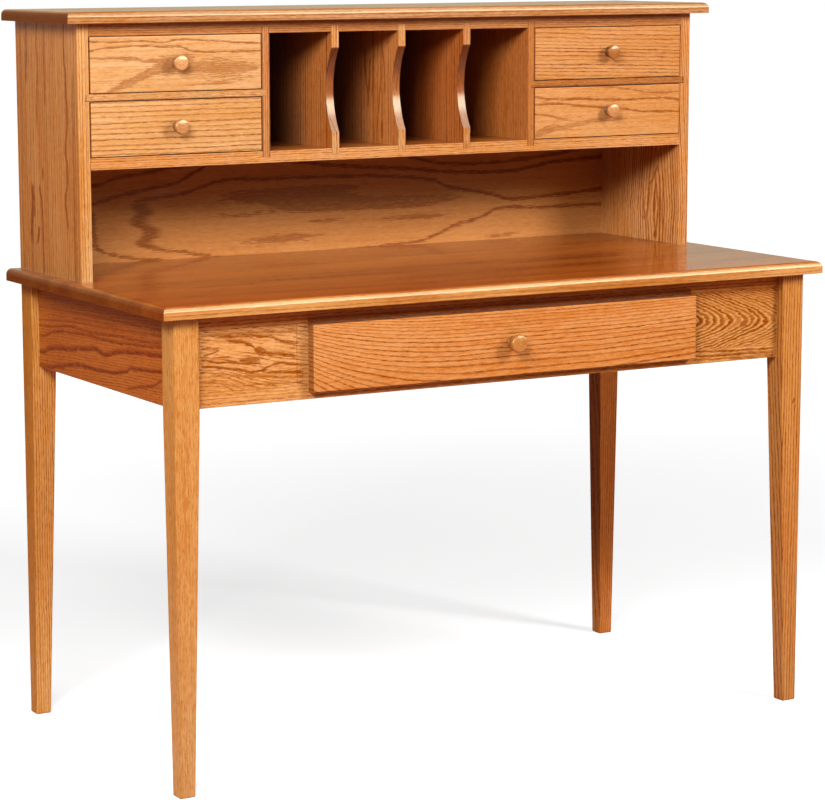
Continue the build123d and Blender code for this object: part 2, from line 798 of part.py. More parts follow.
# ------------------------------------------------------------- small drawers
def make_small_drawer(prefix, sx, open_z0, open_z1):
    """Inset drawer of six pieces; sx is the side of the gallery it is on."""
    xa, xb = sorted((sx * part_out, sx * gal_in))
    fx0, fx1 = xa + small_gap, xb - small_gap          # front
    fz0, fz1 = open_z0 + small_gap, open_z1 - small_gap
    bx0, bx1 = fx0, fx1                                # box
    bz0, bz1 = open_z0 + 0.5, open_z1 - 8.0
    fy0, fy1 = gal_front, gal_front + small_front_t
    tip = fy1 - small_tail
    rear = back_face - 0.6
    floor_z0, floor_z1, floor_in = bz0 + 8.0, bz0 + 13.0, 5.0
    pins = pin_points(tip, fy1, bz0, bz1, 3)
    kx, kz = (fx0 + fx1) / 2, (fz0 + fz1) / 2 + 1.2

    with BuildPart() as front:
        block(fx0, fx1, fy0, fy1, fz0, fz1)
        fillet(front.faces().sort_by(Axis.Y)[0].edges(), 0.9)
        # sockets for the sides
        block(bx0, bx0 + small_side_t, tip, fy1, bz0, bz1, Mode.SUBTRACT)
        block(bx1 - small_side_t, bx1, tip, fy1, bz0, bz1, Mode.SUBTRACT)
        for points in pins:
            clipped = [(y, max(z, fz0)) for y, z in points]
            prism_x(clipped, bx0, bx0 + small_side_t)
            prism_x(clipped, bx1 - small_side_t, bx1)
        # groove for the floor
        block(
            bx0 + small_side_t, bx1 - small_side_t, fy1 - floor_in, fy1, floor_z0, floor_z1,
            Mode.SUBTRACT,
        )
        with BuildSketch(Plane.XZ.offset(-fy1)):
            with Locations((kx, kz)):
                Circle(4.5)
        extrude(amount=small_front_t, mode=Mode.SUBTRACT)
    finish(front.part, prefix + "_front")

    for name, x_out, x_in in (
        ("_side_left", bx0, bx0 + small_side_t),
        ("_side_right", bx1, bx1 - small_side_t),
    ):
        inward = 1 if x_in > x_out else -1
        with BuildPart() as side:
            block(x_out, x_in, tip, rear, bz0, bz1)
            for points in pins:
                prism_x(points, x_out, x_in, Mode.SUBTRACT)
            block(
                x_in, x_in - inward * floor_in, fy1, rear, floor_z0, floor_z1, Mode.SUBTRACT
            )
            block(
                x_in, x_in - inward * 4.0, rear - 16.0, rear - 6.0, floor_z1, bz1,
                Mode.SUBTRACT,
            )
        finish(side.part, prefix + name)

    with BuildPart() as back:
        block(
            bx0 + small_side_t - 4.0, bx1 - small_side_t + 4.0, rear - 16.0, rear - 6.0,
            floor_z1, bz1,
        )
    finish(back.part, prefix + "_back")

    with BuildPart() as floor:
        block(
            bx0 + small_side_t - floor_in, bx1 - small_side_t + floor_in, fy1, rear - 1.0,
            floor_z0, floor_z1,
        )
        block(
            bx0 + small_side_t, bx1 - small_side_t, fy1 - floor_in, fy1, floor_z0, floor_z1
        )
    finish(floor.part, prefix + "_bottom")

    make_knob(kx, fy0, kz, knob_reach_small, knob_r_small, small_front_t, prefix + "_knob")


make_small_drawer("upper_left_drawer", -1, dust_z1, gal_sub_z0)
make_small_drawer("lower_left_drawer", -1, gal_shelf_z1, dust_z0)
make_small_drawer("upper_right_drawer", 1, dust_z1, gal_sub_z0)
make_small_drawer("lower_right_drawer", 1, gal_shelf_z1, dust_z0)
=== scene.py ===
import math

import bpy
from mathutils import Matrix, Vector

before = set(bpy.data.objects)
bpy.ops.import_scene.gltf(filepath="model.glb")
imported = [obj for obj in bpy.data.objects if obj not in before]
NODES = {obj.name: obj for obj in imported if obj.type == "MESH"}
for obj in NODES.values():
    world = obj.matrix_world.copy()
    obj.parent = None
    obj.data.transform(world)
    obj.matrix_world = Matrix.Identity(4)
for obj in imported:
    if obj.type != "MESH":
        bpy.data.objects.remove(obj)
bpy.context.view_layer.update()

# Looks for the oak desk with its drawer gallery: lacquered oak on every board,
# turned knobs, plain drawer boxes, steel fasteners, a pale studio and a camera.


# ----------------------------------------------------------------------------
# Shader arithmetic: a socket that can be added, multiplied and so on
# ----------------------------------------------------------------------------

def linear(rgb):
    """A display colour, 0 to 255, as the linear colour that a shader takes."""
    out = []
    for c in rgb:
        c = c / 255.0
        out.append(c / 12.92 if c <= 0.04045 else ((c + 0.055) / 1.055) ** 2.4)
    return tuple(out) + (1.0,)


STAIN = 0.5  # how much light stained oak gives back; the lamps make up for it, so shadows stay deep


def wood(rgb):
    r, g, b, a = linear(rgb)
    return (r * STAIN, g * STAIN, b * STAIN, a)


class Sock:
    def __init__(self, net, out):
        self.net, self.out = net, out

    def __add__(self, o):
        return self.net.math("ADD", self, o)

    __radd__ = __add__

    def __sub__(self, o):
        return self.net.math("SUBTRACT", self, o)

    def __rsub__(self, o):
        return self.net.math("SUBTRACT", o, self)

    def __mul__(self, o):
        return self.net.math("MULTIPLY", self, o)

    __rmul__ = __mul__

    def __truediv__(self, o):
        return self.net.math("DIVIDE", self, o)

    def __neg__(self):
        return self.net.math("MULTIPLY", self, -1.0)


class Net:
    """Writes the nodes of one material."""

    def __init__(self, name):
        self.mat = bpy.data.materials.new(name)
        self.mat.use_nodes = True
        self.tree = self.mat.node_tree
        self.tree.nodes.clear()
        self.count = 0

    def node(self, kind, **props):
        n = self.tree.nodes.new(kind)
        n.location = (180 * (self.count % 24), -220 * (self.count // 24))
        self.count += 1
        for k, v in props.items():
            setattr(n, k, v)
        return n

    def feed(self, socket, value):
        if isinstance(value, Sock):
            self.tree.links.new(value.out, socket)
        else:
            socket.default_value = value

    def math(self, op, a, b=None, c=None, clamp=False):
        if op in ("ADD", "SUBTRACT") and isinstance(b, (int, float)) and b == 0:
            return a
        if op == "ADD" and isinstance(a, (int, float)) and a == 0:
            return b
        if op == "MULTIPLY" and isinstance(b, (int, float)) and b == 1:
            return a
        n = self.node("ShaderNodeMath", operation=op, use_clamp=clamp)
        for i, v in enumerate((a, b, c)):
            if v is not None:
                self.feed(n.inputs[i], v)
        return Sock(self, n.outputs[0])

    def sqrt(self, a):
        return self.math("SQRT", a)

    def floor(self, a):
        return self.math("FLOOR", a)

    def fract(self, a):
        return self.math("FRACT", a)

    def exp(self, a):
        return self.math("EXPONENT", a)

    def least(self, a, b):
        return self.math("MINIMUM", a, b)

    def most(self, a, b):
        return self.math("MAXIMUM", a, b)

    def absolute(self, a):
        return self.math("ABSOLUTE", a)

    def span(self, x, a, b, lo=0.0, hi=1.0, smooth=True):
        n = self.node("ShaderNodeMapRange", interpolation_type="SMOOTHSTEP" if smooth else "LINEAR")
        n.clamp = True
        self.feed(n.inputs["Value"], x)
        self.feed(n.inputs["From Min"], a)
        self.feed(n.inputs["From Max"], b)
        self.feed(n.inputs["To Min"], lo)
        self.feed(n.inputs["To Max"], hi)
        return Sock(self, n.outputs["Result"])

    def vec(self, x, y, z):
        n = self.node("ShaderNodeCombineXYZ")
        for i, v in enumerate((x, y, z)):
            self.feed(n.inputs[i], v)
        return Sock(self, n.outputs[0])

    def split(self, v):
        n = self.node("ShaderNodeSeparateXYZ")
        self.feed(n.inputs[0], v)
        return tuple(Sock(self, o) for o in n.outputs)

    def scaled(self, v, by, plus=(0.0, 0.0, 0.0)):
        n = self.node("ShaderNodeVectorMath", operation="MULTIPLY_ADD")
        self.feed(n.inputs[0], v)
        n.inputs[1].default_value = by
        n.inputs[2].default_value = plus
        return Sock(self, n.outputs[0])

    def noise(self, v, detail=2.0, rough=0.5, colour=False):
        n = self.node("ShaderNodeTexNoise", noise_dimensions="3D")
        self.feed(n.inputs["Vector"], v)
        n.inputs["Scale"].default_value = 1.0
        n.inputs["Detail"].default_value = detail
        n.inputs["Roughness"].default_value = rough
        return Sock(self, n.outputs["Color" if colour else "Fac"])

    def random(self, w):
        n = self.node("ShaderNodeTexWhiteNoise", noise_dimensions="1D")
        self.feed(n.inputs["W"], w)
        return Sock(self, n.outputs["Value"])

    def mix(self, fac, a, b, blend="MIX"):
        n = self.node("ShaderNodeMix", data_type="RGBA", blend_type=blend)
        n.clamp_factor = True
        self.feed(n.inputs[0], fac)
        self.feed(n.inputs[6], a)
        self.feed(n.inputs[7], b)
        return Sock(self, n.outputs[2])

    def finish(self, base, rough, height=None, coat=1.0, coat_rough=0.12, metallic=0.0,
               specular=0.5, bump=0.3, bump_mm=0.1):
        out = self.node("ShaderNodeOutputMaterial")
        p = self.node("ShaderNodeBsdfPrincipled")
        self.tree.links.new(p.outputs[0], out.inputs[0])
        self.feed(p.inputs["Base Color"], base)
        self.feed(p.inputs["Roughness"], rough)
        p.inputs["Metallic"].default_value = metallic
        p.inputs["IOR"].default_value = 1.5
        p.inputs["Specular IOR Level"].default_value = specular
        self.feed(p.inputs["Coat Weight"], coat)
        p.inputs["Coat Roughness"].default_value = coat_rough
        p.inputs["Coat IOR"].default_value = 1.5
        if height is not None:
            b = self.node("ShaderNodeBump")
            b.inputs["Strength"].default_value = bump
            b.inputs["Distance"].default_value = bump_mm / 1000.0
            self.feed(b.inputs["Height"], height)
            self.tree.links.new(b.outputs[0], p.inputs["Normal"])
        return self.mat


# ----------------------------------------------------------------------------
# Oak
# ----------------------------------------------------------------------------
# Every board works in millimetres in its own directions: L along the grain,
# A across the face that shows most, B into the board.

GRAIN = {"xz": (0, 2, 1), "xy": (0, 1, 2), "yz": (1, 2, 0), "zy": (2, 1, 0), "zx": (2, 0, 1), "yx": (1, 0, 2)}

HONEY = dict(light=(245, 181, 117), mid=(222, 143, 66), early=(160, 76, 8), pore=(112, 46, 6))
ORANGE = dict(light=(242, 166, 98), mid=(222, 130, 52), early=(158, 66, 6), pore=(110, 42, 5))
DESKTOP = dict(light=(212, 140, 84), mid=(180, 100, 42), early=(134, 60, 14), pore=(92, 40, 8))
PLY = dict(light=(233, 165, 104), mid=(208, 130, 66), early=(142, 66, 5), pore=(112, 50, 5))
BOX = dict(light=(232, 188, 132), mid=(214, 165, 108), early=(186, 132, 80), pore=(150, 102, 62))

# The stain took differently on each board, and the multipliers also carry painted light and shade, darker for boards
# that sit in less light: what is left of its light, by channel.
TONE = {
    "oak_desktop": (0.81, 0.52, 0.16),
    "oak_divider_center": (0.88, 0.69, 0.54),
    "oak_divider_left": (0.83, 0.63, 0.48),
    "oak_divider_right": (0.72, 0.45, 0.28),
    "oak_dust_left": (0.76, 0.82, 0.91),
    "oak_dust_right": (0.52, 0.37, 0.22),
    "oak_front_apron": (0.84, 0.88, 0.86),
    "oak_gallery_top": (0.64, 0.65, 0.78),
    "oak_left_apron": (0.73, 0.42, 0.16),
    "oak_leg_fl": (0.7, 0.67, 0.48),
    "oak_leg_fr": (0.69, 0.63, 0.41),
    "oak_leg_rl": (0.91, 0.77, 0.28),
    "oak_leg_rr": (0.15, 0.15, 0.15),
    "oak_ll_front": (0.85, 0.97, 1.13),
    "oak_lr_front": (0.8, 0.77, 0.74),
    "oak_partition_left": (0.63, 0.53, 0.5),
    "oak_partition_right": (0.61, 0.45, 0.28),
    "oak_shelf": (0.83, 0.8, 0.8),
    "oak_side_left": (0.91, 0.8, 0.62),
    "oak_side_right": (0.87, 0.87, 0.88),
    "oak_subtop": (0.59, 0.51, 0.48),
    "oak_ul_front": (0.84, 0.97, 1.18),
    "oak_ur_front": (0.75, 0.71, 0.67),
    "oak_wide_front": (0.78, 0.83, 0.85),
    "ply_back": (1.1, 1.0, 0.8),
}


def coordinates(net, way):
    tc = net.node("ShaderNodeTexCoord")
    mm = net.scaled(Sock(net, tc.outputs["Object"]), (1000.0, 1000.0, 1000.0))
    x = net.split(mm)
    i, j, k = GRAIN[way]
    nx = net.split(Sock(net, tc.outputs["Normal"]))
    net.facing = [net.absolute(nx[q]) for q in (i, j, k)]
    return x[i], x[j], x[k], net.facing[0]


def steps(net, a, edges, values):
    """A number that jumps from one value to the next at each edge of a glue-up."""
    total = float(values[0])
    for e, (p, q) in zip(edges, zip(values, values[1:])):
        if q != p:
            total = net.math("GREATER_THAN", a, e) * float(q - p) + total
    return total


def wander(net, L, A, B, s, reach, along, across):
    """A slow sideways drift of the grain, in millimetres."""
    n = net.noise(net.scaled(net.vec(L, A, B), (1 / along, 1 / across, 1 / across), (s + 1.7, s - 4.4, s + 9.1)), 2.0, 0.5)
    return (n - 0.5) * (2 * reach)


def hills(net, L, A, spots):
    total = 0.0
    for (l0, a0, rl, ra, h) in spots:
        p, q = (L - l0) / rl, (A - a0) / ra
        total = net.exp(-(p * p + q * q)) * h + total
    return total


def straight(net, L, A, B, s, at=0.0, spacing=7.0, slope=0.0, bow=0.0, middle=0.0, depth=0.3, spread=0.0,
             drift=(5.0, 380.0, 80.0), ripple=(1.3, 55.0, 12.0), jitter=0.6, swells=()):
    """Long grain: the ring number rises steadily across the board."""
    a = A - at + B * depth + wander(net, L, A, B, s, *drift) + wander(net, L, A, B, s + 33.0, *ripple)
    if slope:
        a = a - (L - middle) * slope
    if bow:
        l = L - middle
        a = a - l * l * bow
    if spread:
        a = a * (a * spread + 1.0)
    t = a / spacing
    if jitter:
        t = t + (net.noise(net.vec(t * 0.31 + s, 0.5, 0.5), 1.0, 0.5) - 0.5) * (2 * jitter)
    if swells:
        t = t + hills(net, L, A, swells)
    return t


def cathedral(net, L, A, B, s, pith, stretch=0.3, spacing=7.0, drift=(6.0, 200.0, 60.0), ripple=(1.6, 40.0, 10.0),
              jitter=0.5, soft=6.0, slope=0.0, swells=()):
    """Flat-sawn figure: rings nest round a point, drawn out along the grain."""
    a = A - pith[1] + wander(net, L, A, B, s, *drift) + wander(net, L, A, B, s + 33.0, *ripple)
    l = (L - pith[0]) * stretch + wander(net, L, A, B, s + 50.0, drift[0] * 0.6, drift[1], drift[2])
    if slope:
        a = a - (L - pith[0]) * slope
    t = net.sqrt(a * a + l * l + soft * soft) / spacing
    if jitter:
        t = t + (net.noise(net.vec(t * 0.31 + s, 0.5, 0.5), 1.0, 0.5) - 0.5) * (2 * jitter)
    if swells:
        t = t + hills(net, L, A, swells)
    return t


def drawn(net, X, Y, points, rough, half=2.2, tail=(1.0, 1.0), ends=(0.0, 0.0)):
    """A dark growth line through the given points, 0 to 1; tail is how softly it ends below and above."""
    xs, ys = [p[0] for p in points], [p[1] for p in points]
    x0, x1, y0, y1 = min(xs), max(xs), min(ys) - 1.0, max(ys) + 1.0
    n = net.node("ShaderNodeFloatCurve")
    curve = n.mapping.curves[0]
    while len(curve.points) < len(points):
        curve.points.new(0.5, 0.5)
    for p, (x, y) in zip(curve.points, sorted(points)):
        p.location = ((x - x0) / (x1 - x0), (y - y0) / (y1 - y0))
    n.mapping.update()
    net.feed(n.inputs["Value"], net.span(X, x0, x1, smooth=False))
    line = Sock(net, n.outputs[0]) * (y1 - y0) + y0
    d = Y - line + rough
    m = net.span(d, -half * (0.3 + tail[0]), -half * 0.3) * net.span(d, half * 0.3, half * (0.3 + tail[1]), 1.0, 0.0)
    if ends[0]:
        m = m * net.span(X, x0 - ends[0] * 0.2, x0 + ends[0])
    if ends[1]:
        m = m * net.span(X, x1 - ends[1], x1 + ends[1] * 0.2, 1.0, 0.0)
    return m


def patches(net, L, A, spots, rough, edge=(0.46, 0.60)):
    """Dark fields with torn edges; a spot is (l, a, reach along, reach across, slope, height)."""
    total = 0.0
    for (l0, a0, rl, ra, slope, h) in spots:
        p, q = (L - l0) / rl, (A - a0 - (L - l0) * slope) / ra
        total = net.exp(-(p * p + q * q)) * h + total
    return net.span(total + rough, edge[0], edge[1])


def joint_lines(net, c, lines):
    """Stain gathers where boards meet: (axis, place, half width, depth, axis it is seen along, from, to on the third axis)."""
    for (axis, place, half, depth, seen, lo, hi) in lines:
        d = net.absolute(c[axis] - place)
        m = net.span(d, half * 0.4, half, 1.0, 0.0) * net.span(net.facing[seen], 0.6, 0.8) * depth
        if lo is not None:
            third = c[3 - axis - seen]
            m = m * net.math("GREATER_THAN", third, lo) * net.math("LESS_THAN", third, hi)
        yield m


def oak(name, way, seed, look=HONEY, tone=None, field=None, contrast=1.0, lines=(0.07, 0.17, 0.42), ring_range=0.45,
        fingers=(0.22, 26.0, 2.0), pores=1.0, haze=1.0, cloud=1.0, rough=(0.40, 0.55), specular=0.2, coat=0.55, coat_rough=0.2, coat_edge=None, coat_end=None,
        end_dark=0.6, end_range=(0.5, 0.95), fleck=1.0, edges=(), board_tones=None, strokes=(), stroke_tear=6.0, spots=(), spot_dark=0.6,
        spot_tear=0.9, calm=(), zones=None, joints=(), faces=(), extra=None, bump=0.35, **ring):
    """One oak board. field, if given, makes the ring number itself."""
    net = Net(name)
    L, A, B, along = coordinates(net, way)
    s = seed * 7.31
    tone = tone or TONE.get(name, (1.0, 1.0, 1.0))
    if edges:
        board = steps(net, A, edges, list(range(len(edges) + 1)))
        A_s = A + (net.random(board + seed * 0.37) - 0.5) * 400.0
        L_s = L + (net.random(board + seed * 0.37 + 11.3) - 0.5) * 900.0
    else:
        A_s, L_s = A, L
    v = net.vec(L_s, A_s, B)
    t = field(net, L, A, B, s) if field else straight(net, L_s, A_s, B, s, **ring)
    # the edge of a ring runs out in fingers along the grain
    torn = net.noise(net.scaled(v, (1 / fingers[1], 1 / fingers[2], 1 / fingers[2]), (s + 2.2, s + 8.8, s)), 2.0, 0.6) - 0.5
    t = t + torn * (2 * fingers[0])
    ring_no = net.floor(t)
    f = net.fract(t)
    strength = net.random(ring_no * 1.37 + (seed + 0.5)) * ring_range + (1.0 - ring_range)
    # zones gives how much broader and how much stronger the lines are from place to place
    broad, gain = zones(net, L, A) if zones else (0.0, 1.0)
    early = net.span(f, 0.0, lines[0]) * net.span(f, broad * 0.22 + lines[1], broad * 0.28 + lines[2], 1.0, 0.0) * strength * gain
    if calm:
        early = early * (1.0 - net.least(hills(net, L, A, calm), 0.92))
    late = net.span(f, 0.45, 1.0)

    fibre = net.noise(net.scaled(v, (1 / 60.0, 1 / 1.3, 1 / 1.3), (s, s + 1.3, s + 4.2)), 2.0, 0.6)
    streak = net.noise(net.scaled(v, (1 / 260.0, 1 / 9.0, 1 / 9.0), (s - 3.1, s, s + 2.0)), 2.0, 0.5)
    clouds = net.noise(net.scaled(v, (1 / 330.0, 1 / 70.0, 1 / 70.0), (s + 5.5, s - 1.2, s)), 1.0, 0.5)
    flecks = net.noise(net.scaled(v, (1 / 16.0, 1 / 2.6, 1 / 2.6), (s + 3.1, s + 6.3, s - 2.2)), 2.0, 0.65)
    vessel = net.noise(net.scaled(v, (1 / 9.0, 1 / 0.9, 1 / 0.9), (s, s, s + 6.6)), 1.0, 0.5)

    broken = net.span(vessel, 0.30, 0.58, broad * 0.3 + 0.55, 1.0)
    dark = early * broken * contrast
    ragged = net.span(flecks, 0.28, 0.54, 0.60, 1.0)
    for (flip, points, half, strong, tail, ends) in strokes:
        X, Y = (A, L) if flip else (L, A)
        m = drawn(net, X, Y, points, torn * (24.0 if flip else stroke_tear), half, tail, ends)
        dark = net.most(dark, m * ragged * strong)
    if spots:
        m = patches(net, L, A, spots, torn * spot_tear + (streak - 0.5) * 0.6)
        dark = net.most(dark, m * (ragged * 0.65 + fibre * 0.6 - 0.05) * spot_dark)
    pore = net.span(vessel, 0.54, 0.68) * (dark * 0.6 + 0.34) * pores
    deep = ((flecks - 0.5) * (1.5 * fleck) + (fibre - 0.5) * (1.2 * haze) + (streak - 0.5) * (1.1 * haze) + (clouds - 0.5) * (1.2 * cloud)
            + late * (0.20 * contrast) + 0.40)
    colour = net.mix(deep, wood(look["light"]), wood(look["mid"]))
    colour = net.mix(dark, colour, wood(look["early"]))
    colour = net.mix(pore * 0.7, colour, wood(look["pore"]))
    if board_tones:
        colour = net.mix(1.0, colour, net.vec(*[steps(net, A, edges, [bt[i] for bt in board_tones]) for i in range(3)]), "MULTIPLY")
    if tone != (1.0, 1.0, 1.0):
        colour = net.mix(1.0, colour, tuple(tone) + (1.0,), "MULTIPLY")
    # faces multiplies the faces that point along one axis by a colour: painted light and shade, lighter for faces the
    # lamps light more, darker for faces in shade.
    for axis, shade in faces:
        colour = net.mix(net.span(net.facing[axis], 0.6, 0.85), colour, net.mix(1.0, colour, tuple(shade) + (1.0,), "MULTIPLY"))
    if extra:
        colour = extra(net, L, A, B, colour)
    for m in joint_lines(net, (L, A, B), joints):
        colour = net.mix(m, colour, net.mix(1.0, colour, (0.22, 0.12, 0.08, 1.0), "MULTIPLY"))
    # end grain drinks more stain
    end = net.span(along, *end_range)
    colour = net.mix(end * end_dark, colour, net.mix(1.0, colour, (0.42, 0.31, 0.20, 1.0), "MULTIPLY"))
    gloss = net.span(fibre * 0.5 + pore * 0.6, 0.15, 0.75, rough[0], rough[1], smooth=False)
    height = fibre * 0.2 - pore * 1.0 - dark * 0.3
    if coat_edge is not None:
        coat = net.span(net.facing[2 if way[1] == "y" else 1], 0.75, 0.97, coat_edge, coat)
    if coat_end is not None:
        coat = net.span(along, 0.5, 0.9, coat, coat_end)
    return net.finish(colour, gloss, height, coat=coat, coat_rough=coat_rough, specular=specular, bump=bump, bump_mm=0.12)


def put(material, *nodes):
    for n in nodes:
        o = NODES[n]
        if not o.material_slots:
            o.data.materials.append(material)
        for s in o.material_slots:
            s.material = material


# Desk ----------------------------------------------------------------------
def painted_edge_light(net, L, A, B, colour):
    """Painted light: the front edge is painted paler and bluer than the top face, a painted sheen, and the end faces a
    little paler.
    """
    edge = net.span(net.facing[2], 0.75, 0.95, 1.0, 0.0) * net.span(net.facing[0], 0.35, 0.75, 1.0, 0.0)
    ends = net.span(net.facing[2], 0.75, 0.95, 1.0, 0.0) * net.span(net.facing[0], 0.35, 0.75)
    colour = net.mix(ends, colour, net.mix(1.0, colour, (1.15, 1.5, 1.5, 1.0), "MULTIPLY"))
    return net.mix(edge, colour, net.mix(1.0, colour, (1.13, 2.40, 8.2, 1.0), "MULTIPLY"))


DESK_STREAKS = [
    (False, ((120, -54), (200, -46), (280, -42), (390, -47)), 9.0, 0.90, (1.0, 1.4), (40, 30)),
    (False, ((-370, -68), (-250, -72), (-150, -76), (-50, -84)), 14.0, 0.75, (1.0, 1.4), (50, 40)),
    (False, ((-480, -102), (-400, -97), (-330, -92)), 8.0, 0.75, (1.0, 1.2), (30, 30)),
    (False, ((-180, 112), (-80, 108), (20, 112)), 8.0, 0.68, (1.0, 1.2), (30, 40)),
    (False, ((-20, 140), (150, 138), (300, 145), (460, 148)), 7.0, 0.68, (1.0, 1.4), (60, 40)),
    (False, ((120, 94), (250, 88), (380, 80)), 8.0, 0.60, (1.0, 1.2), (40, 40)),
    (False, ((-600, -18), (-200, -26), (120, -24), (420, -10)), 15.0, 0.45, (1.0, 1.4), (80, 60)),
    (False, ((-140, -152), (100, -140), (320, -128)), 20.0, 0.52, (1.0, 1.4), (80, 60)),
    (False, ((-560, -200), (-300, -215), (0, -222), (380, -205)), 12.0, 0.45, (1.0, 1.4), (80, 60)),
]
# The desktop's extra paints the front edge paler than the top face: a painted sheen.
put(oak("oak_desktop", "xy", 11, DESKTOP, edges=(-222.0, -104.0, 14.0, 128.0, 226.0),
        board_tones=((1.12, 1.0, 0.85), (1.0, 0.95, 0.9), (0.90, 0.86, 0.82), (1.02, 1.0, 0.98), (0.94, 0.9, 0.88), (1.0, 0.96, 0.9)),
        spacing=9.0, contrast=0.9, haze=1.4, cloud=2.2, strokes=DESK_STREAKS, stroke_tear=26.0, coat=0.65, coat_rough=0.09, coat_edge=0.9, coat_end=0.15, specular=0.08, end_dark=0.85, depth=1.2, extra=painted_edge_light), "desktop")


def apron_figure(net, L, A, B, s):
    """A rail cut from a flat-sawn board: blunt flames to the right, a swirl to the left, quiet strips above and below."""
    quiet = straight(net, L, A, B, s, spacing=5.6, drift=(2.5, 400.0, 60.0), ripple=(0.8, 50.0, 10.0))
    a = net.absolute(A - 665.0 + (L - 460.0) * 0.06 + wander(net, L, A, B, s + 5.0, 5.0, 60.0, 30.0)) + wander(net, L, A, B, s + 33.0, 1.2, 24.0, 5.0)
    flame = (L - 397.0 + (net.sqrt(a * a + 150.0) - 12.2) * 1.9 + a * a * 0.022 + wander(net, L, A, B, s + 61.0, 8.0, 36.0, 12.0)) / 15.0
    swirl = straight(net, L, A, B, s, at=600.0, spacing=5.8, slope=-0.20, middle=-450.0, drift=(4.0, 110.0, 28.0), ripple=(1.9, 30.0, 8.0),
                     jitter=0.5, swells=((-500.0, 640.0, 34.0, 20.0, -1.6), (-395.0, 645.0, 34.0, 14.0, 0.9)))
    t = swirl + net.math("GREATER_THAN", L, 0.0) * (flame - swirl)
    inside = net.math("GREATER_THAN", A, 620.5) * net.math("LESS_THAN", A, 714.0)
    return quiet + inside * (t - quiet)


def apron_zones(net, L, A):
    inside = net.math("GREATER_THAN", A, 620.5) * net.math("LESS_THAN", A, 714.0)
    flames = inside * net.math("GREATER_THAN", L, 0.0)
    return flames, flames * 0.26 + 0.78


def apron_tone_and_shade(net, L, A, B, colour):
    """The board to the right of the drawer is redder and the glue line at the left shows; the top band under the desk
    top's overhang is painted darker and redder, a painted shadow, and the strip just above the drawer is painted darker
    still.
    """
    colour = net.mix(net.math("GREATER_THAN", L, 0.0), colour, net.mix(1.0, colour, (0.93, 0.90, 0.74, 1.0), "MULTIPLY"))
    # painted shadow: the top band under the desk top's overhang is darker and redder
    colour = net.mix(net.span(A, 704.0, 722.0), colour, net.mix(1.0, colour, (0.95, 0.80, 0.66, 1.0), "MULTIPLY"))
    # painted shadow: a darker strip just above the drawer opening
    painted_shadow_above_drawer = net.span(A, 727.0, 719.0) * net.span(A, 712.0, 713.0) * net.math("LESS_THAN", net.absolute(L - 7.0), 358.0)
    colour = net.mix(painted_shadow_above_drawer, colour, net.mix(1.0, colour, (0.60, 0.30, 0.14, 1.0), "MULTIPLY"))
    line = net.span(net.absolute(L + 370.0), 0.3, 1.2, 0.5, 0.0) * net.math("GREATER_THAN", A, 620.5) * net.math("LESS_THAN", A, 714.0)
    return net.mix(line, colour, net.mix(1.0, colour, (0.30, 0.18, 0.12, 1.0), "MULTIPLY"))


APRON_LINES = [
    (False, ((-495, 700), (-485, 697), (-475, 694), (-465, 693), (-455, 690), (-447, 686), (-440, 680), (-432, 676), (-425, 675), (-420, 672),
             (-405, 671), (-395, 669), (-370, 664)), 3.1, 1.00, (1.0, 1.6), (8, 6)),
    (False, ((-510, 703), (-490, 703), (-470, 702), (-450, 702), (-435, 700), (-415, 698), (-405, 693), (-395, 689), (-370, 684)), 2.2, 0.94, (1.0, 1.5), (12, 5)),
    (False, ((-533, 671), (-520, 668), (-500, 664), (-480, 663), (-465, 660), (-440, 659), (-428, 656)), 2.3, 1.00, (1.0, 1.6), (2, 8)),
    (False, ((-533, 661), (-500, 656), (-480, 653), (-460, 649), (-450, 646), (-436, 646), (-426, 649), (-416, 653), (-400, 656), (-385, 654), (-358, 650)),
     2.2, 1.00, (1.0, 1.5), (2, 6)),
    (False, ((-533, 687), (-520, 687), (-508, 685), (-500, 681)), 2.0, 0.88, (1.0, 1.2), (2, 4)),
    (False, ((-530, 677), (-518, 678), (-509, 681), (-500, 683)), 1.8, 0.81, (1.0, 1.2), (3, 4)),
    (False, ((-530, 669), (-515, 670), (-508, 672), (-490, 671), (-478, 671)), 1.8, 0.88, (1.0, 1.2), (3, 8)),
    (False, ((-425, 644), (-400, 642), (-385, 641), (-358, 640)), 2.4, 1.00, (1.0, 1.4), (14, 6)),
    (False, ((-533, 651), (-500, 648), (-470, 642), (-440, 639), (-400, 635), (-358, 633)), 1.9, 0.75, (1.0, 1.4), (2, 6)),
    (False, ((-533, 638), (-510, 634), (-480, 628), (-440, 626), (-358, 625)), 1.8, 0.62, (1.0, 1.4), (2, 6)),
    (False, ((-533, 707), (-500, 706), (-440, 706), (-400, 704), (-358, 701)), 1.8, 0.62, (1.0, 1.4), (2, 6)),
    (False, ((372, 618), (420, 615), (480, 613), (538, 612)), 2.2, 1.00, (1.0, 1.5), (3, 3)),
    (False, ((372, 610), (420, 608), (480, 607), (538, 605)), 2.2, 0.94, (1.0, 1.5), (3, 3)),
    (False, ((372, 603), (420, 602), (480, 600), (538, 599)), 1.9, 0.88, (1.0, 1.4), (3, 3)),
]
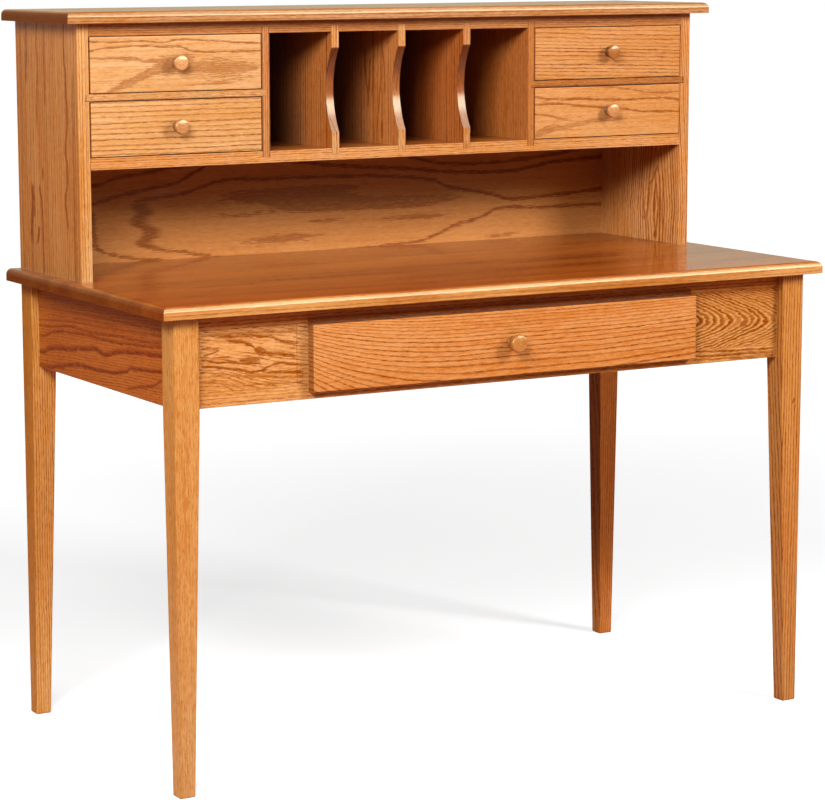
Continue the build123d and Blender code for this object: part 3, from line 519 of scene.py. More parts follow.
put(oak("oak_front_apron", "xz", 21, HONEY, field=apron_figure, contrast=1.1, fingers=(0.34, 18.0, 2.0), ring_range=0.5, pores=1.3,
        lines=(0.10, 0.22, 0.55), zones=apron_zones, strokes=APRON_LINES, stroke_tear=8.0, fleck=1.5, spots=((-432.0, 677.0, 11.0, 6.5, -0.2, 1.4), (-452.0, 664.0, 19.0, 4.5, 0.0, 1.3),
                                                            (-382.0, 687.0, 17.0, 3.6, -0.1, 1.3), (-425.0, 649.0, 7.0, 4.0, 0.6, 1.2), (474.0, 658.0, 9.0, 6.0, 0.4, 1.2)),
        spot_dark=0.9, specular=0.05, coat=0.3, calm=((-480.0, 686.0, 34.0, 12.0, 0.9), (-415.0, 687.0, 30.0, 8.0, 0.7), (-405.0, 648.0, 25.0, 4.0, 0.7)), extra=apron_tone_and_shade), "front_apron")
put(oak("oak_rear_apron", "xz", 22, HONEY, spacing=8.0), "rear_apron")
SIDE_LINES = [
    (False, ((-210, 703), (-100, 697), (0, 692), (100, 688), (200, 681), (262, 675)), 2.0, 0.68, (1.0, 1.8), (0, 0)),
    (False, ((-60, 700), (30, 698), (60, 697), (130, 693)), 1.7, 0.60, (1.0, 1.6), (20, 20)),
    (False, ((-210, 692), (-185, 690), (-120, 686), (-60, 685), (0, 680), (60, 678), (130, 678), (200, 670), (262, 666)), 2.1, 0.83, (1.0, 2.0), (0, 0)),
    (False, ((-210, 686), (-185, 683), (-100, 677), (-40, 673), (60, 672), (120, 669), (180, 665), (215, 658), (235, 652), (262, 649)), 2.2, 0.90, (1.0, 2.1), (0, 0)),
    (False, ((-210, 672), (-170, 669), (-100, 664), (-60, 659), (-40, 656), (-20, 651), (0, 648), (15, 650), (30, 653), (45, 652), (60, 649), (100, 646),
             (120, 642), (160, 638), (200, 634), (225, 630), (240, 624), (262, 622)), 3.2, 1.00, (1.0, 3.0), (0, 0)),
    (False, ((-210, 648), (-170, 644), (-130, 641), (-100, 639), (-85, 632), (-60, 628), (-40, 624), (0, 622), (30, 620), (80, 620), (110, 618), (140, 614),
             (160, 610), (185, 607), (215, 600)), 2.7, 1.00, (1.0, 2.5), (0, 0)),
    (False, ((-210, 634), (-200, 630), (-190, 625), (-150, 617), (-120, 612), (-100, 608), (-80, 605)), 2.3, 0.90, (1.0, 2.1), (0, 20)),
    (False, ((-210, 712), (-60, 708), (90, 704), (262, 697)), 1.8, 0.60, (1.0, 1.7), (0, 0)),
]
put(oak("oak_left_apron", "yz", 23, HONEY, contrast=0.85, spacing=4.6, slope=-0.06, middle=20.0, strokes=SIDE_LINES, stroke_tear=5.5,
        spots=((172.0, 606.0, 16.0, 4.0, 0.0, 1.2),), spot_dark=0.8, fingers=(0.42, 26.0, 1.8), haze=0.9), "left_apron")
put(oak("oak_right_apron", "yz", 24, HONEY, spacing=9.0), "right_apron")


def painted_light_foot(low, high, shade):
    """Painted light: the legs are painted paler towards the floor, where they come out of the shade under the desk."""
    def paler(net, L, A, B, colour):
        return net.mix(net.span(L, low, high, 1.0, 0.0), colour, net.mix(1.0, colour, tuple(shade) + (1.0,), "MULTIPLY"))
    return paler


# The faces given to three legs paint one face lighter or paler than the others: painted light.
put(oak("oak_leg_fl", "zx", 31, HONEY, spacing=4.2, contrast=0.28, pores=1.4, haze=0.8, fleck=2.2, depth=0.5, faces=((1, (1.28, 1.33, 1.32)),),
        extra=painted_light_foot(20.0, 420.0, (1.03, 1.17, 1.55))), "leg_front_left")
put(oak("oak_leg_fr", "zx", 32, HONEY, spacing=5.4, slope=0.012, contrast=1.2, depth=0.6,
        spots=((523.0, 570.0, 5.0, 1.6, 0.5, 1.6),), spot_dark=1.5, extra=painted_light_foot(20.0, 300.0, (1.0, 1.04, 1.2))), "leg_front_right")
put(oak("oak_leg_rl", "zx", 33, HONEY, spacing=4.6, slope=-0.035, depth=0.9, contrast=1.25, fleck=1.5, faces=((2, (0.97, 1.15, 2.2)),),
        extra=painted_light_foot(20.0, 420.0, (1.05, 1.22, 1.75))), "leg_rear_left")
# The rear right leg has a much darker tone than the others: painted shade under the desk.
put(oak("oak_leg_rr", "zx", 34, HONEY, tone=(0.45, 0.30, 0.14), spacing=4.6, contrast=1.1, specular=0.05, coat=0.3, faces=((1, (1.0, 1.1, 1.1)),),
        extra=painted_light_foot(20.0, 200.0, (1.9, 2.3, 3.6))), "leg_rear_right")

# Gallery -------------------------------------------------------------------
SIDE_STROKES = [
    (False, ((835, 101), (865, 107), (884, 110), (919, 98), (942, 101), (969, 105), (1003, 97), (1030, 97), (1050, 100), (1088, 101), (1107, 105), (1155, 105)),
     3.6, 0.92, (1.0, 1.6), (10, 0)),
    (False, ((1020, 190), (1060, 186), (1100, 187), (1155, 186)), 2.4, 0.81, (1.0, 1.4), (20, 0)),
    (False, ((990, 220), (1040, 219), (1100, 214), (1130, 218), (1165, 211)), 3.0, 0.81, (1.0, 1.4), (20, 0)),
    (False, ((1060, 264), (1085, 262), (1120, 259), (1160, 259)), 4.2, 0.89, (1.0, 1.4), (12, 0)),
    (False, ((755, 204), (838, 205), (873, 207), (890, 213), (905, 215)), 3.9, 0.92, (1.0, 1.5), (0, 8)),
    (False, ((800, 250), (834, 250), (860, 246), (880, 244), (905, 248)), 6.3, 1.00, (1.0, 1.4), (12, 10)),
    (False, ((846, 240), (865, 237), (888, 240)), 3.3, 0.89, (1.0, 1.2), (6, 6)),
    (False, ((803, 229), (818, 224), (836, 219)), 4.2, 1.00, (1.0, 1.3), (5, 5)),
    (False, ((755, 251), (834, 251)), 2.7, 0.75, (1.0, 1.3), (0, 8)),
    (False, ((755, 75), (860, 74), (980, 74), (1100, 72)), 2.7, 0.67, (1.0, 1.4), (0, 20)),
    (False, ((755, 285), (880, 288), (1000, 284), (1165, 286)), 3.0, 0.59, (1.0, 1.4), (0, 0)),
]
# The front edge of the left side is painted paler and bluer than its outer face: painted light.
put(oak("oak_side_left", "zy", 41, HONEY, edges=(120.0, 214.0), spacing=8.0, contrast=0.95, haze=1.3, fleck=1.4, depth=2.0,
        strokes=SIDE_STROKES, stroke_tear=5.0, spots=((922.0, 201.0, 14.0, 4.0, 0.0, 1.2),), spot_dark=0.8,
        joints=((2, -565.5, 1.5, 0.7, 1, 955.0, 1143.6),),
        jitter=1.1, ring_range=0.7, faces=((1, (0.87, 1.05, 1.4)),)), "gallery_side_left")


def side_flame(net, L, A, B, s):
    """Long pointed ovals up the middle of the board, straight grain at its sides."""
    a = net.absolute(A - 122.0 + wander(net, L, A, B, s + 3.0, 4.0, 160.0, 40.0)) + wander(net, L, A, B, s + 33.0, 1.2, 40.0, 8.0)
    return (a * (a * 0.008 + 1.0) + net.absolute(L - 818.0) * 0.16 + B * 2.6) / 12.5


# The right side's inner face is painted paler than its front edge: painted light.
put(oak("oak_side_right", "zy", 42, HONEY, field=side_flame, contrast=1.25, haze=1.3, fingers=(0.22, 26.0, 3.0), ring_range=0.6,
        lines=(0.10, 0.28, 0.62), faces=((2, (1.42, 1.38, 1.34)), (1, (0.95, 0.94, 0.97))), joints=((2, 565.5, 1.5, 0.6, 1, 955.0, 1143.6),), stroke_tear=4.0,
        strokes=((False, ((755, 110), (800, 110), (840, 110), (870, 111), (885, 116), (895, 121)), 2.6, 0.95, (1.0, 1.5), (0, 4)),
                 (False, ((805, 148), (818, 147), (840, 144), (858, 141), (872, 129), (892, 121)), 3.0, 0.95, (1.0, 1.5), (8, 4)),
                 (False, ((790, 158), (830, 161), (860, 163)), 2.4, 0.9, (1.0, 1.4), (8, 10)),
                 (False, ((755, 100), (810, 101), (862, 100)), 2.0, 0.8, (1.0, 1.3), (0, 10)),
                 (False, ((755, 149), (790, 152), (815, 150)), 2.2, 0.85, (1.0, 1.3), (0, 6))),
        spots=((826.0, 127.0, 22.0, 3.6, 0.0, 1.3), (770.0, 124.0, 8.0, 7.0, 0.0, 1.1)), spot_dark=1.1),
    "gallery_side_right")
# The top face is painted warmer and the end faces darker and browner: painted light and shade by face, on top of the
# end-grain darkening.
put(oak("oak_gallery_top", "xy", 43, HONEY, edges=(130.0, 222.0), spacing=7.0, contrast=0.9, coat_rough=0.11, coat_edge=0.65, coat_end=0.0, specular=0.08, end_dark=0.9, depth=1.2,
        haze=1.3, fleck=1.6, faces=((2, (1.15, 0.94, 0.62)), (0, (0.92, 0.70, 0.46)))), "gallery_top")
# The subtop's and shelf's flat faces, ceiling and floor of the pigeon holes, are painted darker: painted shade.
put(oak("oak_subtop", "xy", 44, HONEY, spacing=5.0, depth=1.6, fleck=1.6, faces=((2, (0.6, 0.5, 0.5)),)), "gallery_subtop")
put(oak("oak_shelf", "xy", 45, HONEY, spacing=5.0, depth=1.4, fleck=1.6, fingers=(0.3, 16.0, 2.0), faces=((2, (0.75, 0.5, 0.28)),)), "gallery_shelf")
DUST = dict(spacing=4.0, depth=1.2, fingers=(0.7, 8.0, 2.4), fleck=2.2, drift=(5.0, 60.0, 20.0))
put(oak("oak_dust_left", "xy", 46, HONEY, contrast=0.7, joints=((2, 1043.3, 1.3, 0.8, 1, None, None), (0, -571.6, 1.2, 0.8, 1, None, None)), **DUST),
    "dust_shelf_left")
put(oak("oak_dust_right", "xy", 47, HONEY, contrast=1.2, joints=((2, 1043.3, 1.6, 0.9, 1, None, None), (0, 571.6, 1.2, 0.8, 1, None, None)), **DUST),
    "dust_shelf_right")
# The right partition's sides are painted paler, painted light, and the left partition's sides darker, painted shade.
for side, place in (("left", -1), ("right", 1)):
    put(oak("oak_partition_" + side, "zy", 48 if place < 0 else 49, HONEY, spacing=4.4, depth=1.3, contrast=1.1, fleck=1.8,
            joints=((2, place * 247.4, 2.0, 0.75, 1, None, None), (2, place * 261.6, 2.2, 0.8, 1, None, None)),
            faces=((2, (1.30, 1.30, 1.48)),) if place > 0 else ((2, (0.5, 0.4, 0.5)),)), "partition_" + side)


def painted_divider_light(shade):
    """Painted light and shade: the square front ends above and below the scoop are painted paler than the faces, the
    faces are painted browner towards the back, and the scoop's upper half darker.
    """
    def paler(net, L, A, B, colour):
        front = net.math("LESS_THAN", A, 53.8) * net.span(net.facing[1], 0.8, 0.95)
        # painted shade: the faces are darker towards the back of the pigeon holes
        colour = net.mix(net.span(A, 90.0, 270.0), colour, net.mix(1.0, colour, (0.36, 0.30, 0.42, 1.0), "MULTIPLY"))
        # painted shade: the scoop's upper, downward-facing half is darker
        scoop = net.span(A, 53.9, 54.6) * net.span(net.facing[2], 0.5, 0.3) * net.span(L, 1016.0, 1046.0)
        colour = net.mix(scoop, colour, net.mix(1.0, colour, (0.46, 0.41, 0.42, 1.0), "MULTIPLY"))
        # painted light: the square front ends are paler
        return net.mix(front, colour, net.mix(1.0, colour, tuple(shade) + (1.0,), "MULTIPLY"))
    return paler


DIVIDER = dict(end_range=(0.04, 0.26), end_dark=0.95, coat=0.9, coat_rough=0.18, jitter=1.3, ring_range=0.8)
put(oak("oak_divider_left", "zy", 50, HONEY, spacing=8.5, contrast=1.1, depth=1.8, fleck=1.6, extra=painted_divider_light((1.0, 1.5, 2.6)),
        joints=((2, -133.2, 1.3, 0.6, 1, None, None), (2, -119.2, 1.3, 0.6, 1, None, None)), **DIVIDER), "divider_left")
put(oak("oak_divider_center", "zy", 51, HONEY, spacing=11.0, contrast=0.8, depth=1.8, fleck=1.4, extra=painted_divider_light((0.86, 1.15, 1.7)),
        joints=((2, -7.0, 1.3, 0.6, 1, None, None), (2, 7.0, 1.3, 0.6, 1, None, None)),
        strokes=((False, ((955, 127), (990, 124), (1000, 122), (1040, 115), (1060, 112), (1100, 111), (1130, 109)), 1.8, 0.75, (1.0, 1.5), (6, 6)),
                 (False, ((1028, 143), (1040, 140), (1060, 138), (1110, 138)), 2.6, 0.85, (1.0, 1.6), (10, 10)),
                 (False, ((1010, 160), (1030, 155), (1060, 163), (1080, 165), (1115, 168)), 2.8, 0.85, (1.0, 1.6), (8, 10)),
                 (False, ((1035, 152), (1060, 151), (1080, 150), (1098, 147)), 2.8, 0.85, (1.0, 1.4), (10, 8)),
                 (False, ((1035, 98), (1080, 100), (1100, 103), (1120, 108)), 2.0, 0.75, (1.0, 1.4), (10, 6))),
        stroke_tear=4.0, spots=((978.0, 109.0, 16.0, 4.0, 0.0, 1.2),), spot_dark=0.9, **DIVIDER), "divider_center")
put(oak("oak_divider_right", "zy", 52, HONEY, spacing=8.5, contrast=1.1, depth=1.8, fleck=1.6, extra=painted_divider_light((1.0, 1.5, 2.6)),
        joints=((2, 119.2, 1.3, 0.6, 1, None, None), (2, 133.2, 1.3, 0.6, 1, None, None)), **DIVIDER), "divider_right")

PANEL_LINES = [
    (False, ((-382, 857), (-368, 860), (-298, 867), (-253, 878), (-198, 888), (-134, 887), (68, 883), (137, 879), (200, 871), (236, 857), (316, 842),
             (345, 834), (377, 829), (438, 831), (497, 834), (562, 839)), 4.4, 0.89, (0.6, 1.2), (6, 0)),
    (False, ((-352, 776), (-300, 771), (-238, 759), (-182, 752), (136, 760), (173, 763), (207, 772), (255, 789), (292, 797), (316, 804), (343, 814),
             (360, 815), (418, 812), (497, 812), (562, 811)), 3.8, 0.83, (1.2, 0.7), (6, 0)),
    (False, ((-458, 857), (-406, 870), (-367, 876), (-336, 882), (-313, 884), (-289, 893), (-253, 909), (-228, 918), (-103, 916), (16, 903), (135, 894),
             (288, 881), (360, 880), (401, 884), (461, 893), (562, 898)), 4.4, 0.89, (0.7, 1.2), (0, 0)),
    (False, ((-570, 872), (-457, 887), (-435, 893), (-415, 899), (-369, 905), (-313, 912), (-80, 925), (151, 914), (219, 900), (309, 896), (369, 899), (442, 905),
             (500, 912), (562, 925)), 3.8, 0.83, (0.8, 1.3), (0, 0)),
    (False, ((-456, 787), (-437, 777), (-406, 767), (-371, 761), (-330, 757), (-290, 750)), 3.4, 0.83, (1.0, 0.8), (0, 20)),
    (True, ((775, -441), (790, -453), (806, -456), (826, -458), (850, -461)), 6.0, 0.77, (1.0, 1.2), (6, 6)),
    (True, ((774, -334), (779, -350), (789, -366), (797, -356), (807, -352), (821, -374), (830, -376), (838, -364), (847, -372), (858, -372)), 17.0, 0.83, (0.9, 1.5), (6, 6)),
    (False, ((-570, 960), (-300, 968), (0, 950), (300, 985), (562, 970)), 3.0, 0.83, (0.8, 1.0), (0, 0)),
    (False, ((-570, 1040), (-200, 1050), (100, 1085), (562, 1030)), 3.0, 0.83, (0.8, 1.0), (0, 0)),
    (False, ((-570, 1120), (-250, 1095), (200, 1125), (562, 1110)), 3.0, 0.83, (0.8, 1.0), (0, 0)),
]
PANEL_SPOTS = (
    (-110.0, 859.0, 110.0, 11.0, 0.0, 1.3), (-10.0, 866.0, 60.0, 5.0, 0.0, 1.0), (-40.0, 846.0, 90.0, 14.0, -0.02, 1.1),
    (40.0, 836.0, 120.0, 11.0, 0.02, 1.3), (180.0, 834.0, 75.0, 9.0, 0.04, 1.3), (170.0, 807.0, 80.0, 5.0, 0.0, 1.1),
    (-100.0, 782.0, 95.0, 8.0, 0.03, 0.92), (-20.0, 809.0, 45.0, 4.0, 0.0, 0.95), (350.0, 765.0, 45.0, 5.0, 0.05, 1.0),
    (-180.0, 826.0, 60.0, 6.0, 0.0, 0.6),
)


def painted_pigeonhole_shade(net, L, A, B, colour):
    """Painted shade: the panel is painted darker behind the pigeon holes, where the light does not reach, and most at
    the top.
    """
    inside = net.math("LESS_THAN", B, 299.0)
    colour = net.mix(net.span(A, 940.0, 958.0) * inside, colour, net.mix(1.0, colour, (0.17, 0.15, 0.22, 1.0), "MULTIPLY"))
    return net.mix(net.span(A, 985.0, 1080.0) * inside, colour, net.mix(1.0, colour, (0.16, 0.16, 0.5, 1.0), "MULTIPLY"))


put(oak("ply_back", "xz", 53, PLY, spacing=11.0, contrast=0.12, haze=0.6, cloud=0.8, strokes=PANEL_LINES, stroke_tear=13.0, spots=PANEL_SPOTS,
        spot_dark=0.64, spot_tear=1.7, fingers=(0.3, 24.0, 1.9), pores=0.6, specular=0.1, coat=0.25, coat_rough=0.3, extra=painted_pigeonhole_shade), "gallery_back")

# Drawer fronts -------------------------------------------------------------
def drawer_figure(net, L, A, B, s):
    """Rings lie level to the right, closer together towards the top, and climb at the left end."""
    a = A - 617.0 + wander(net, L, A, B, s, 2.4, 220.0, 40.0) + wander(net, L, A, B, s + 33.0, 1.0, 30.0, 9.0)
    left = net.math("POWER", net.most((L + 60.0) * (-1.0 / 290.0), 0.0), 2.2) * 51.0
    right = net.math("POWER", net.most((L - 140.0) * (1.0 / 220.0), 0.0), 1.6) * 9.0
    rise = left + right
    y = (a - rise) / net.most(1.0 - rise * 0.0074, 0.4)
    return net.math("LOGARITHM", net.most(1.0 - y * 0.0062, 0.2), math.e) * (-1.0 / 0.064) + (net.noise(net.vec(y * 0.05 + s, L * 0.004, 0.5), 1.0, 0.5) - 0.5) * 0.8


# Its top and bottom edges are painted dark: painted shadow under the desk top.
put(oak("oak_wide_front", "xz", 61, ORANGE, field=drawer_figure, contrast=1.0, ring_range=0.45, fingers=(0.22, 24.0, 1.7), fleck=1.5,
        lines=(0.10, 0.18, 0.42), coat_edge=0.0, specular=0.06, faces=((1, (0.45, 0.33, 0.25)),)), "wide_drawer_front")
UL_LINES = [
    (False, ((-564, 1137), (-525, 1135), (-478, 1136), (-440, 1133), (-408, 1137), (-366, 1135), (-324, 1132), (-262, 1128)), 1.6, 0.8, (1.0, 1.6), (0, 0)),
    (False, ((-564, 1121), (-525, 1126), (-478, 1128), (-440, 1126), (-415, 1126), (-395, 1121), (-376, 1117), (-318, 1116), (-262, 1116)), 1.5, 0.8, (1.0, 2.0), (0, 0)),
    (False, ((-564, 1111), (-532, 1110), (-510, 1110), (-491, 1111), (-469, 1103), (-447, 1103), (-431, 1108)), 2.0, 0.65, (1.6, 1.2), (0, 20)),
]
# The small fronts' ends and top and bottom edges are painted darker and redder: painted shade in the gaps round them.
put(oak("oak_ul_front", "xz", 62, HONEY, faces=((0, (0.8, 0.42, 0.2)), (1, (0.8, 0.42, 0.2))), specular=0.1, joints=((0, -564.2, 1.1, 0.5, 2, None, None),), spacing=8.0, contrast=0.22, strokes=UL_LINES,
        spots=((-480.0, 1078.0, 66.0, 8.0, 0.40, 1.15), (-418.0, 1096.0, 32.0, 14.0, 0.0, 1.1), (-330.0, 1090.0, 80.0, 17.0, -0.04, 1.0),
               (-490.0, 1107.0, 40.0, 3.5, 0.0, 0.8), (-360.0, 1066.0, 60.0, 4.0, 0.05, 0.7)), spot_dark=0.62, spot_tear=1.7, fingers=(0.3, 20.0, 1.8)),
    "upper_left_drawer_front")
put(oak("oak_ll_front", "xz", 63, HONEY, faces=((0, (0.8, 0.42, 0.2)), (1, (0.8, 0.42, 0.2))), specular=0.1, joints=((0, -564.2, 1.1, 0.5, 2, None, None),), spacing=8.6, contrast=1.0, ring_range=0.6, drift=(2.5, 240.0, 50.0), ripple=(1.1, 40.0, 9.0),
        fingers=(0.16, 14.0, 1.6)), "lower_left_drawer_front")
put(oak("oak_ur_front", "xz", 64, HONEY, faces=((0, (0.8, 0.42, 0.2)), (1, (0.8, 0.42, 0.2))), specular=0.1, joints=((0, 564.2, 1.1, 0.4, 2, None, None),), spacing=6.4, contrast=1.15, ring_range=0.6, slope=-0.03, middle=410.0,
        drift=(2.5, 240.0, 50.0), ripple=(1.1, 40.0, 9.0)), "upper_right_drawer_front")
LR_LINES = [
    (False, ((265, 1048), (354, 1044), (410, 1041), (468, 1033), (506, 1028), (565, 1028)), 1.6, 0.7, (1.0, 1.6), (0, 0)),
    (False, ((265, 1027), (317, 1021), (354, 1021), (403, 1018), (468, 1017), (514, 1018), (565, 1013)), 1.9, 0.85, (1.0, 1.8), (0, 0)),
    (False, ((265, 1013), (298, 1014), (354, 1009), (400, 1005), (430, 1002), (453, 1000), (484, 996), (526, 994), (565, 993)), 1.8, 0.8, (1.0, 2.0), (0, 0)),
    (False, ((265, 997), (291, 994), (317, 988), (347, 983)), 1.8, 0.7, (1.0, 1.6), (0, 25)),
]
# Its ends and top and bottom edges are painted darker and redder: painted shade in the gaps.
put(oak("oak_lr_front", "xz", 65, HONEY, faces=((0, (0.8, 0.42, 0.2)), (1, (0.8, 0.42, 0.2))), specular=0.1, joints=((0, 564.2, 1.1, 0.4, 2, None, None),), spacing=8.0, contrast=0.22, strokes=LR_LINES,
        spots=((340.0, 976.0, 65.0, 5.0, 0.12, 1.1), (282.0, 968.0, 28.0, 7.0, 0.5, 1.0), (420.0, 984.0, 60.0, 4.0, 0.0, 0.7),
               (520.0, 1028.0, 50.0, 5.0, 0.0, 0.7)), spot_dark=0.55, spot_tear=1.5, fingers=(0.3, 22.0, 1.8)), "lower_right_drawer_front")

# Knobs ---------------------------------------------------------------------
KNOB = dict(light=(240, 176, 112), mid=(222, 150, 88), early=(168, 96, 40), pore=(130, 70, 30))


for i, (name, turn, shade, neck, back) in enumerate((
        ("wide_drawer", 0.25, (0.66, 0.57, 0.34), (0.72, 0.66, 0.62), -296.0), ("upper_left_drawer", 1.9, (0.85, 0.90, 0.98), (0.55, 0.45, 0.42), 43.5),
        ("lower_left_drawer", 3.1, (0.80, 0.80, 0.84), (0.52, 0.44, 0.46), 43.5), ("upper_right_drawer", 0.1, (0.55, 0.42, 0.24), (0.40, 0.30, 0.50), 43.5),
        ("lower_right_drawer", 2.4, (0.84, 0.82, 0.82), (0.52, 0.44, 0.50), 43.5))):
    def knob_rings(net, L, A, B, s, turn=turn):
        a = A * math.cos(turn) + B * math.sin(turn)
        b = B * math.cos(turn) - A * math.sin(turn)
        return (a + b * b * 0.004 + wander(net, L, A, B, s, 1.2, 40.0, 9.0)) / 4.2

    def painted_knob_shade(net, L, A, B, colour, neck=neck, back=back):
        """Painted shade: the neck behind the head is painted darker, the shade in the groove, and the head's rim a
        little darker.
        """
        colour = net.mix(net.span(net.facing[0], 0.35, 0.85, 1.0, 0.0), colour, net.mix(1.0, colour, (0.88, 0.80, 0.72, 1.0), "MULTIPLY"))
        return net.mix(net.span(L, back - 1.0, back + 1.0), colour, net.mix(1.0, colour, tuple(neck) + (1.0,), "MULTIPLY"))

    put(oak("knob_" + name, "yx", 71 + i, KNOB, tone=shade, field=knob_rings, contrast=0.5 if name == "upper_left_drawer" else 1.1, end_dark=0.0, haze=1.4, fleck=2.2, coat=1.0, coat_rough=0.12,
            rough=(0.36, 0.5), bump=0.2, extra=painted_knob_shade), name + "_knob")

# Drawer boxes and plain wood -----------------------------------------------
n = 80
for name in sorted(NODES):
    if name.startswith(("upper_", "lower_", "wide_")) and name.endswith(("_side_left", "_side_right", "_back", "_bottom", "_inner_front")):
        way = "yz" if "_side_" in name else ("xy" if name.endswith("_bottom") else "xz")
        n += 1
        put(oak("box_" + name, way, n, BOX, spacing=6.0, contrast=0.6, coat=0.4, coat_rough=0.3, rough=(0.45, 0.6)), name)
for name, way in (("corner_blocks", "zx"), ("drawer_rail_left", "yz"), ("drawer_rail_right", "yz"), ("hutch_dowels", "zx")):
    n += 1
    put(oak("plain_" + name, way, n, BOX, spacing=6.0, contrast=0.6, coat=0.2, coat_rough=0.3, rough=(0.5, 0.65)), name)


def steel(name):
    net = Net(name)
    L, A, B, along = coordinates(net, "zx")
    v = net.vec(L, A, B)
    brushed = net.noise(net.scaled(v, (1 / 6.0, 1 / 0.6, 1 / 6.0)), 2.0, 0.5)
    spots = net.noise(net.scaled(v, (0.4, 0.4, 0.4)), 3.0, 0.6)
    colour = net.mix(net.span(spots, 0.4, 0.7), linear((188, 190, 194)), linear((150, 150, 150)))
    return net.finish(colour, net.span(brushed, 0.3, 0.7, 0.25, 0.42), brushed, coat=0.0, metallic=1.0, bump=0.2, bump_mm=0.05)


put(steel("zinc_steel"), "wood_screws", "desktop_clips", "wide_drawer_screws")


# ----------------------------------------------------------------------------
# Studio
# ----------------------------------------------------------------------------
scene = bpy.context.scene
ROOM = dict(behind=0.25, around=0.0, mirror=0.62, mirror_around=0.03, window=15.0)


def softbox(name, az, away, height, wide, high, power, aim=(0.0, 0.0, 0.8)):
    """A soft light; az is to the right of straight in front, away is along the floor."""
    place = Vector((math.sin(math.radians(az)) * away, -math.cos(math.radians(az)) * away, height))
    light = bpy.data.lights.new(name, "AREA")
    light.shape, light.size, light.size_y, light.energy = "RECTANGLE", wide, high, power
    o = bpy.data.objects.new(name, light)
    scene.collection.objects.link(o)
    o.location = place
    o.rotation_mode = "QUATERNION"
    o.rotation_quaternion = (Vector(aim) - place).to_track_quat("-Z", "Y")
    o.visible_glossy = False  # what the lacquer mirrors is the backdrop's two windows
    return o


softbox("key_left", -46, 3.3, 2.45, 1.4, 1.1, 126.0 / STAIN)
softbox("key_right", 35, 3.3, 2.50, 1.0, 1.2, 98.0 / STAIN)

# A floor that looks pale, but throws little light back into the shadows.
floor_mesh = bpy.data.meshes.new("studio_floor")
r = 40.0
floor_mesh.from_pydata([(-r, -r, 0.0), (r, -r, 0.0), (r, r, 0.0), (-r, r, 0.0)], [], [(0, 1, 2, 3)])
floor = bpy.data.objects.new("studio_floor", floor_mesh)
scene.collection.objects.link(floor)
net = Net("studio_floor")
out = net.node("ShaderNodeOutputMaterial")
path = net.node("ShaderNodeLightPath")
tc = net.node("ShaderNodeTexCoord")
place = Sock(net, tc.outputs["Object"])
px, py, pz = net.split(place)
far = net.span(net.sqrt(px * px + py * py), 1.0, 4.5)
grain = net.noise(net.scaled(place, (3.0, 3.0, 3.0)), 3.0, 0.5)
seen = 1.0 - net.most(Sock(net, path.outputs["Is Diffuse Ray"]), Sock(net, path.outputs["Is Glossy Ray"]))
diffuse = net.node("ShaderNodeBsdfDiffuse")
net.feed(diffuse.inputs[0], net.mix(seen, (0.60, 0.27, 0.17, 1.0),
                                    net.mix(grain, (0.33, 0.33, 0.33, 1.0), (0.36, 0.36, 0.36, 1.0))))
glow = net.node("ShaderNodeEmission")
glow.inputs[0].default_value = (1.0, 1.0, 1.0, 1.0)
net.feed(glow.inputs[1], seen * (far * 0.30 + 0.70))
both = net.node("ShaderNodeAddShader")
net.tree.links.new(diffuse.outputs[0], both.inputs[0])
net.tree.links.new(glow.outputs[0], both.inputs[1])
net.tree.links.new(both.outputs[0], out.inputs[0])
floor_mesh.materials.append(net.mat)

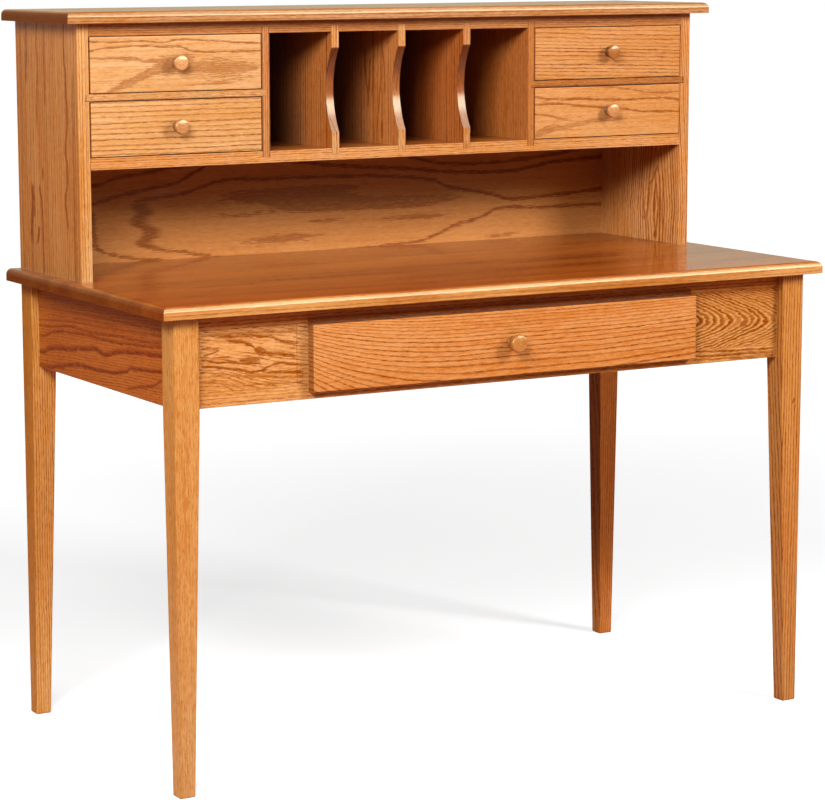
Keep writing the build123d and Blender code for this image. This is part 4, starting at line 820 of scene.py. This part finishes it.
# The backdrop: white behind the desk, where the table top mirrors it, and a dim room elsewhere.
world = bpy.data.worlds.new("studio")
scene.world = world
world.use_nodes = True
net = Net("backdrop")
bpy.data.materials.remove(net.mat)
net.tree = world.node_tree
net.tree.nodes.clear()
out = net.node("ShaderNodeOutputWorld")
back = net.node("ShaderNodeBackground")
path = net.node("ShaderNodeLightPath")
tc = net.node("ShaderNodeTexCoord")
wx, wy, wz = net.split(Sock(net, tc.outputs["Generated"]))
behind = net.span(wy, 0.45, 0.85)
diffuse_ray, glossy_ray = Sock(net, path.outputs["Is Diffuse Ray"]), Sock(net, path.outputs["Is Glossy Ray"])
for_diffuse = behind * ROOM["behind"] + ROOM["around"]
# two tall soft windows in front, brightest low down, which only gloss picks up
tall = net.span(wz, 0.12, 0.20) * net.span(wz, 0.97, 0.88) * net.span(wz, 0.38, 0.54, 1.0, 0.33) * net.span(wy, -0.10, -0.30)
window = tall * net.most(net.span(wx, 0.10, 0.30), net.span(wx, -0.25, -0.45) * 0.7)
for_glossy = behind * net.span(wz, 0.5, 0.25) * ROOM["mirror"] + window * ROOM["window"] + ROOM["mirror_around"]
seen = 1.0 - net.most(diffuse_ray, glossy_ray)
net.feed(back.inputs["Strength"], seen + diffuse_ray * for_diffuse + glossy_ray * (1.0 - diffuse_ray) * for_glossy)
net.feed(back.inputs["Color"], net.mix(glossy_ray, (1.0, 1.0, 1.0, 1.0), (0.92, 1.0, 0.76, 1.0)))
net.tree.links.new(back.outputs[0], out.inputs[0])

# Camera --------------------------------------------------------------------
az, el, roll = (math.radians(a) for a in (29.3122, 9.2001, -0.2038))
forward = Vector((math.sin(az) * math.cos(el), math.cos(az) * math.cos(el), -math.sin(el)))
level = Vector((math.cos(az), -math.sin(az), 0.0))
upward = level.cross(forward)
cam_x = math.cos(roll) * level + math.sin(roll) * upward
cam_y = -math.sin(roll) * level + math.cos(roll) * upward
cam = bpy.data.objects.new("camera", bpy.data.cameras.new("camera"))
scene.collection.objects.link(cam)
m = Matrix.Identity(4)
for i in range(3):
    m[i][0], m[i][1], m[i][2] = cam_x[i], cam_y[i], -forward[i]
m[0][3], m[1][3], m[2][3] = -2.37293, -4.06917, 1.28003
cam.matrix_world = m
cam.data.sensor_width = 36.0
cam.data.lens = 2841.04 * 36.0 / 825.0
cam.data.shift_x = (412.5 - 372.43) / 825.0
cam.data.shift_y = (407.96 - 400.0) / 825.0
cam.data.clip_start, cam.data.clip_end = 0.05, 200.0
scene.camera = cam
scene.view_settings.view_transform = "Standard"
scene.view_settings.look = "None"
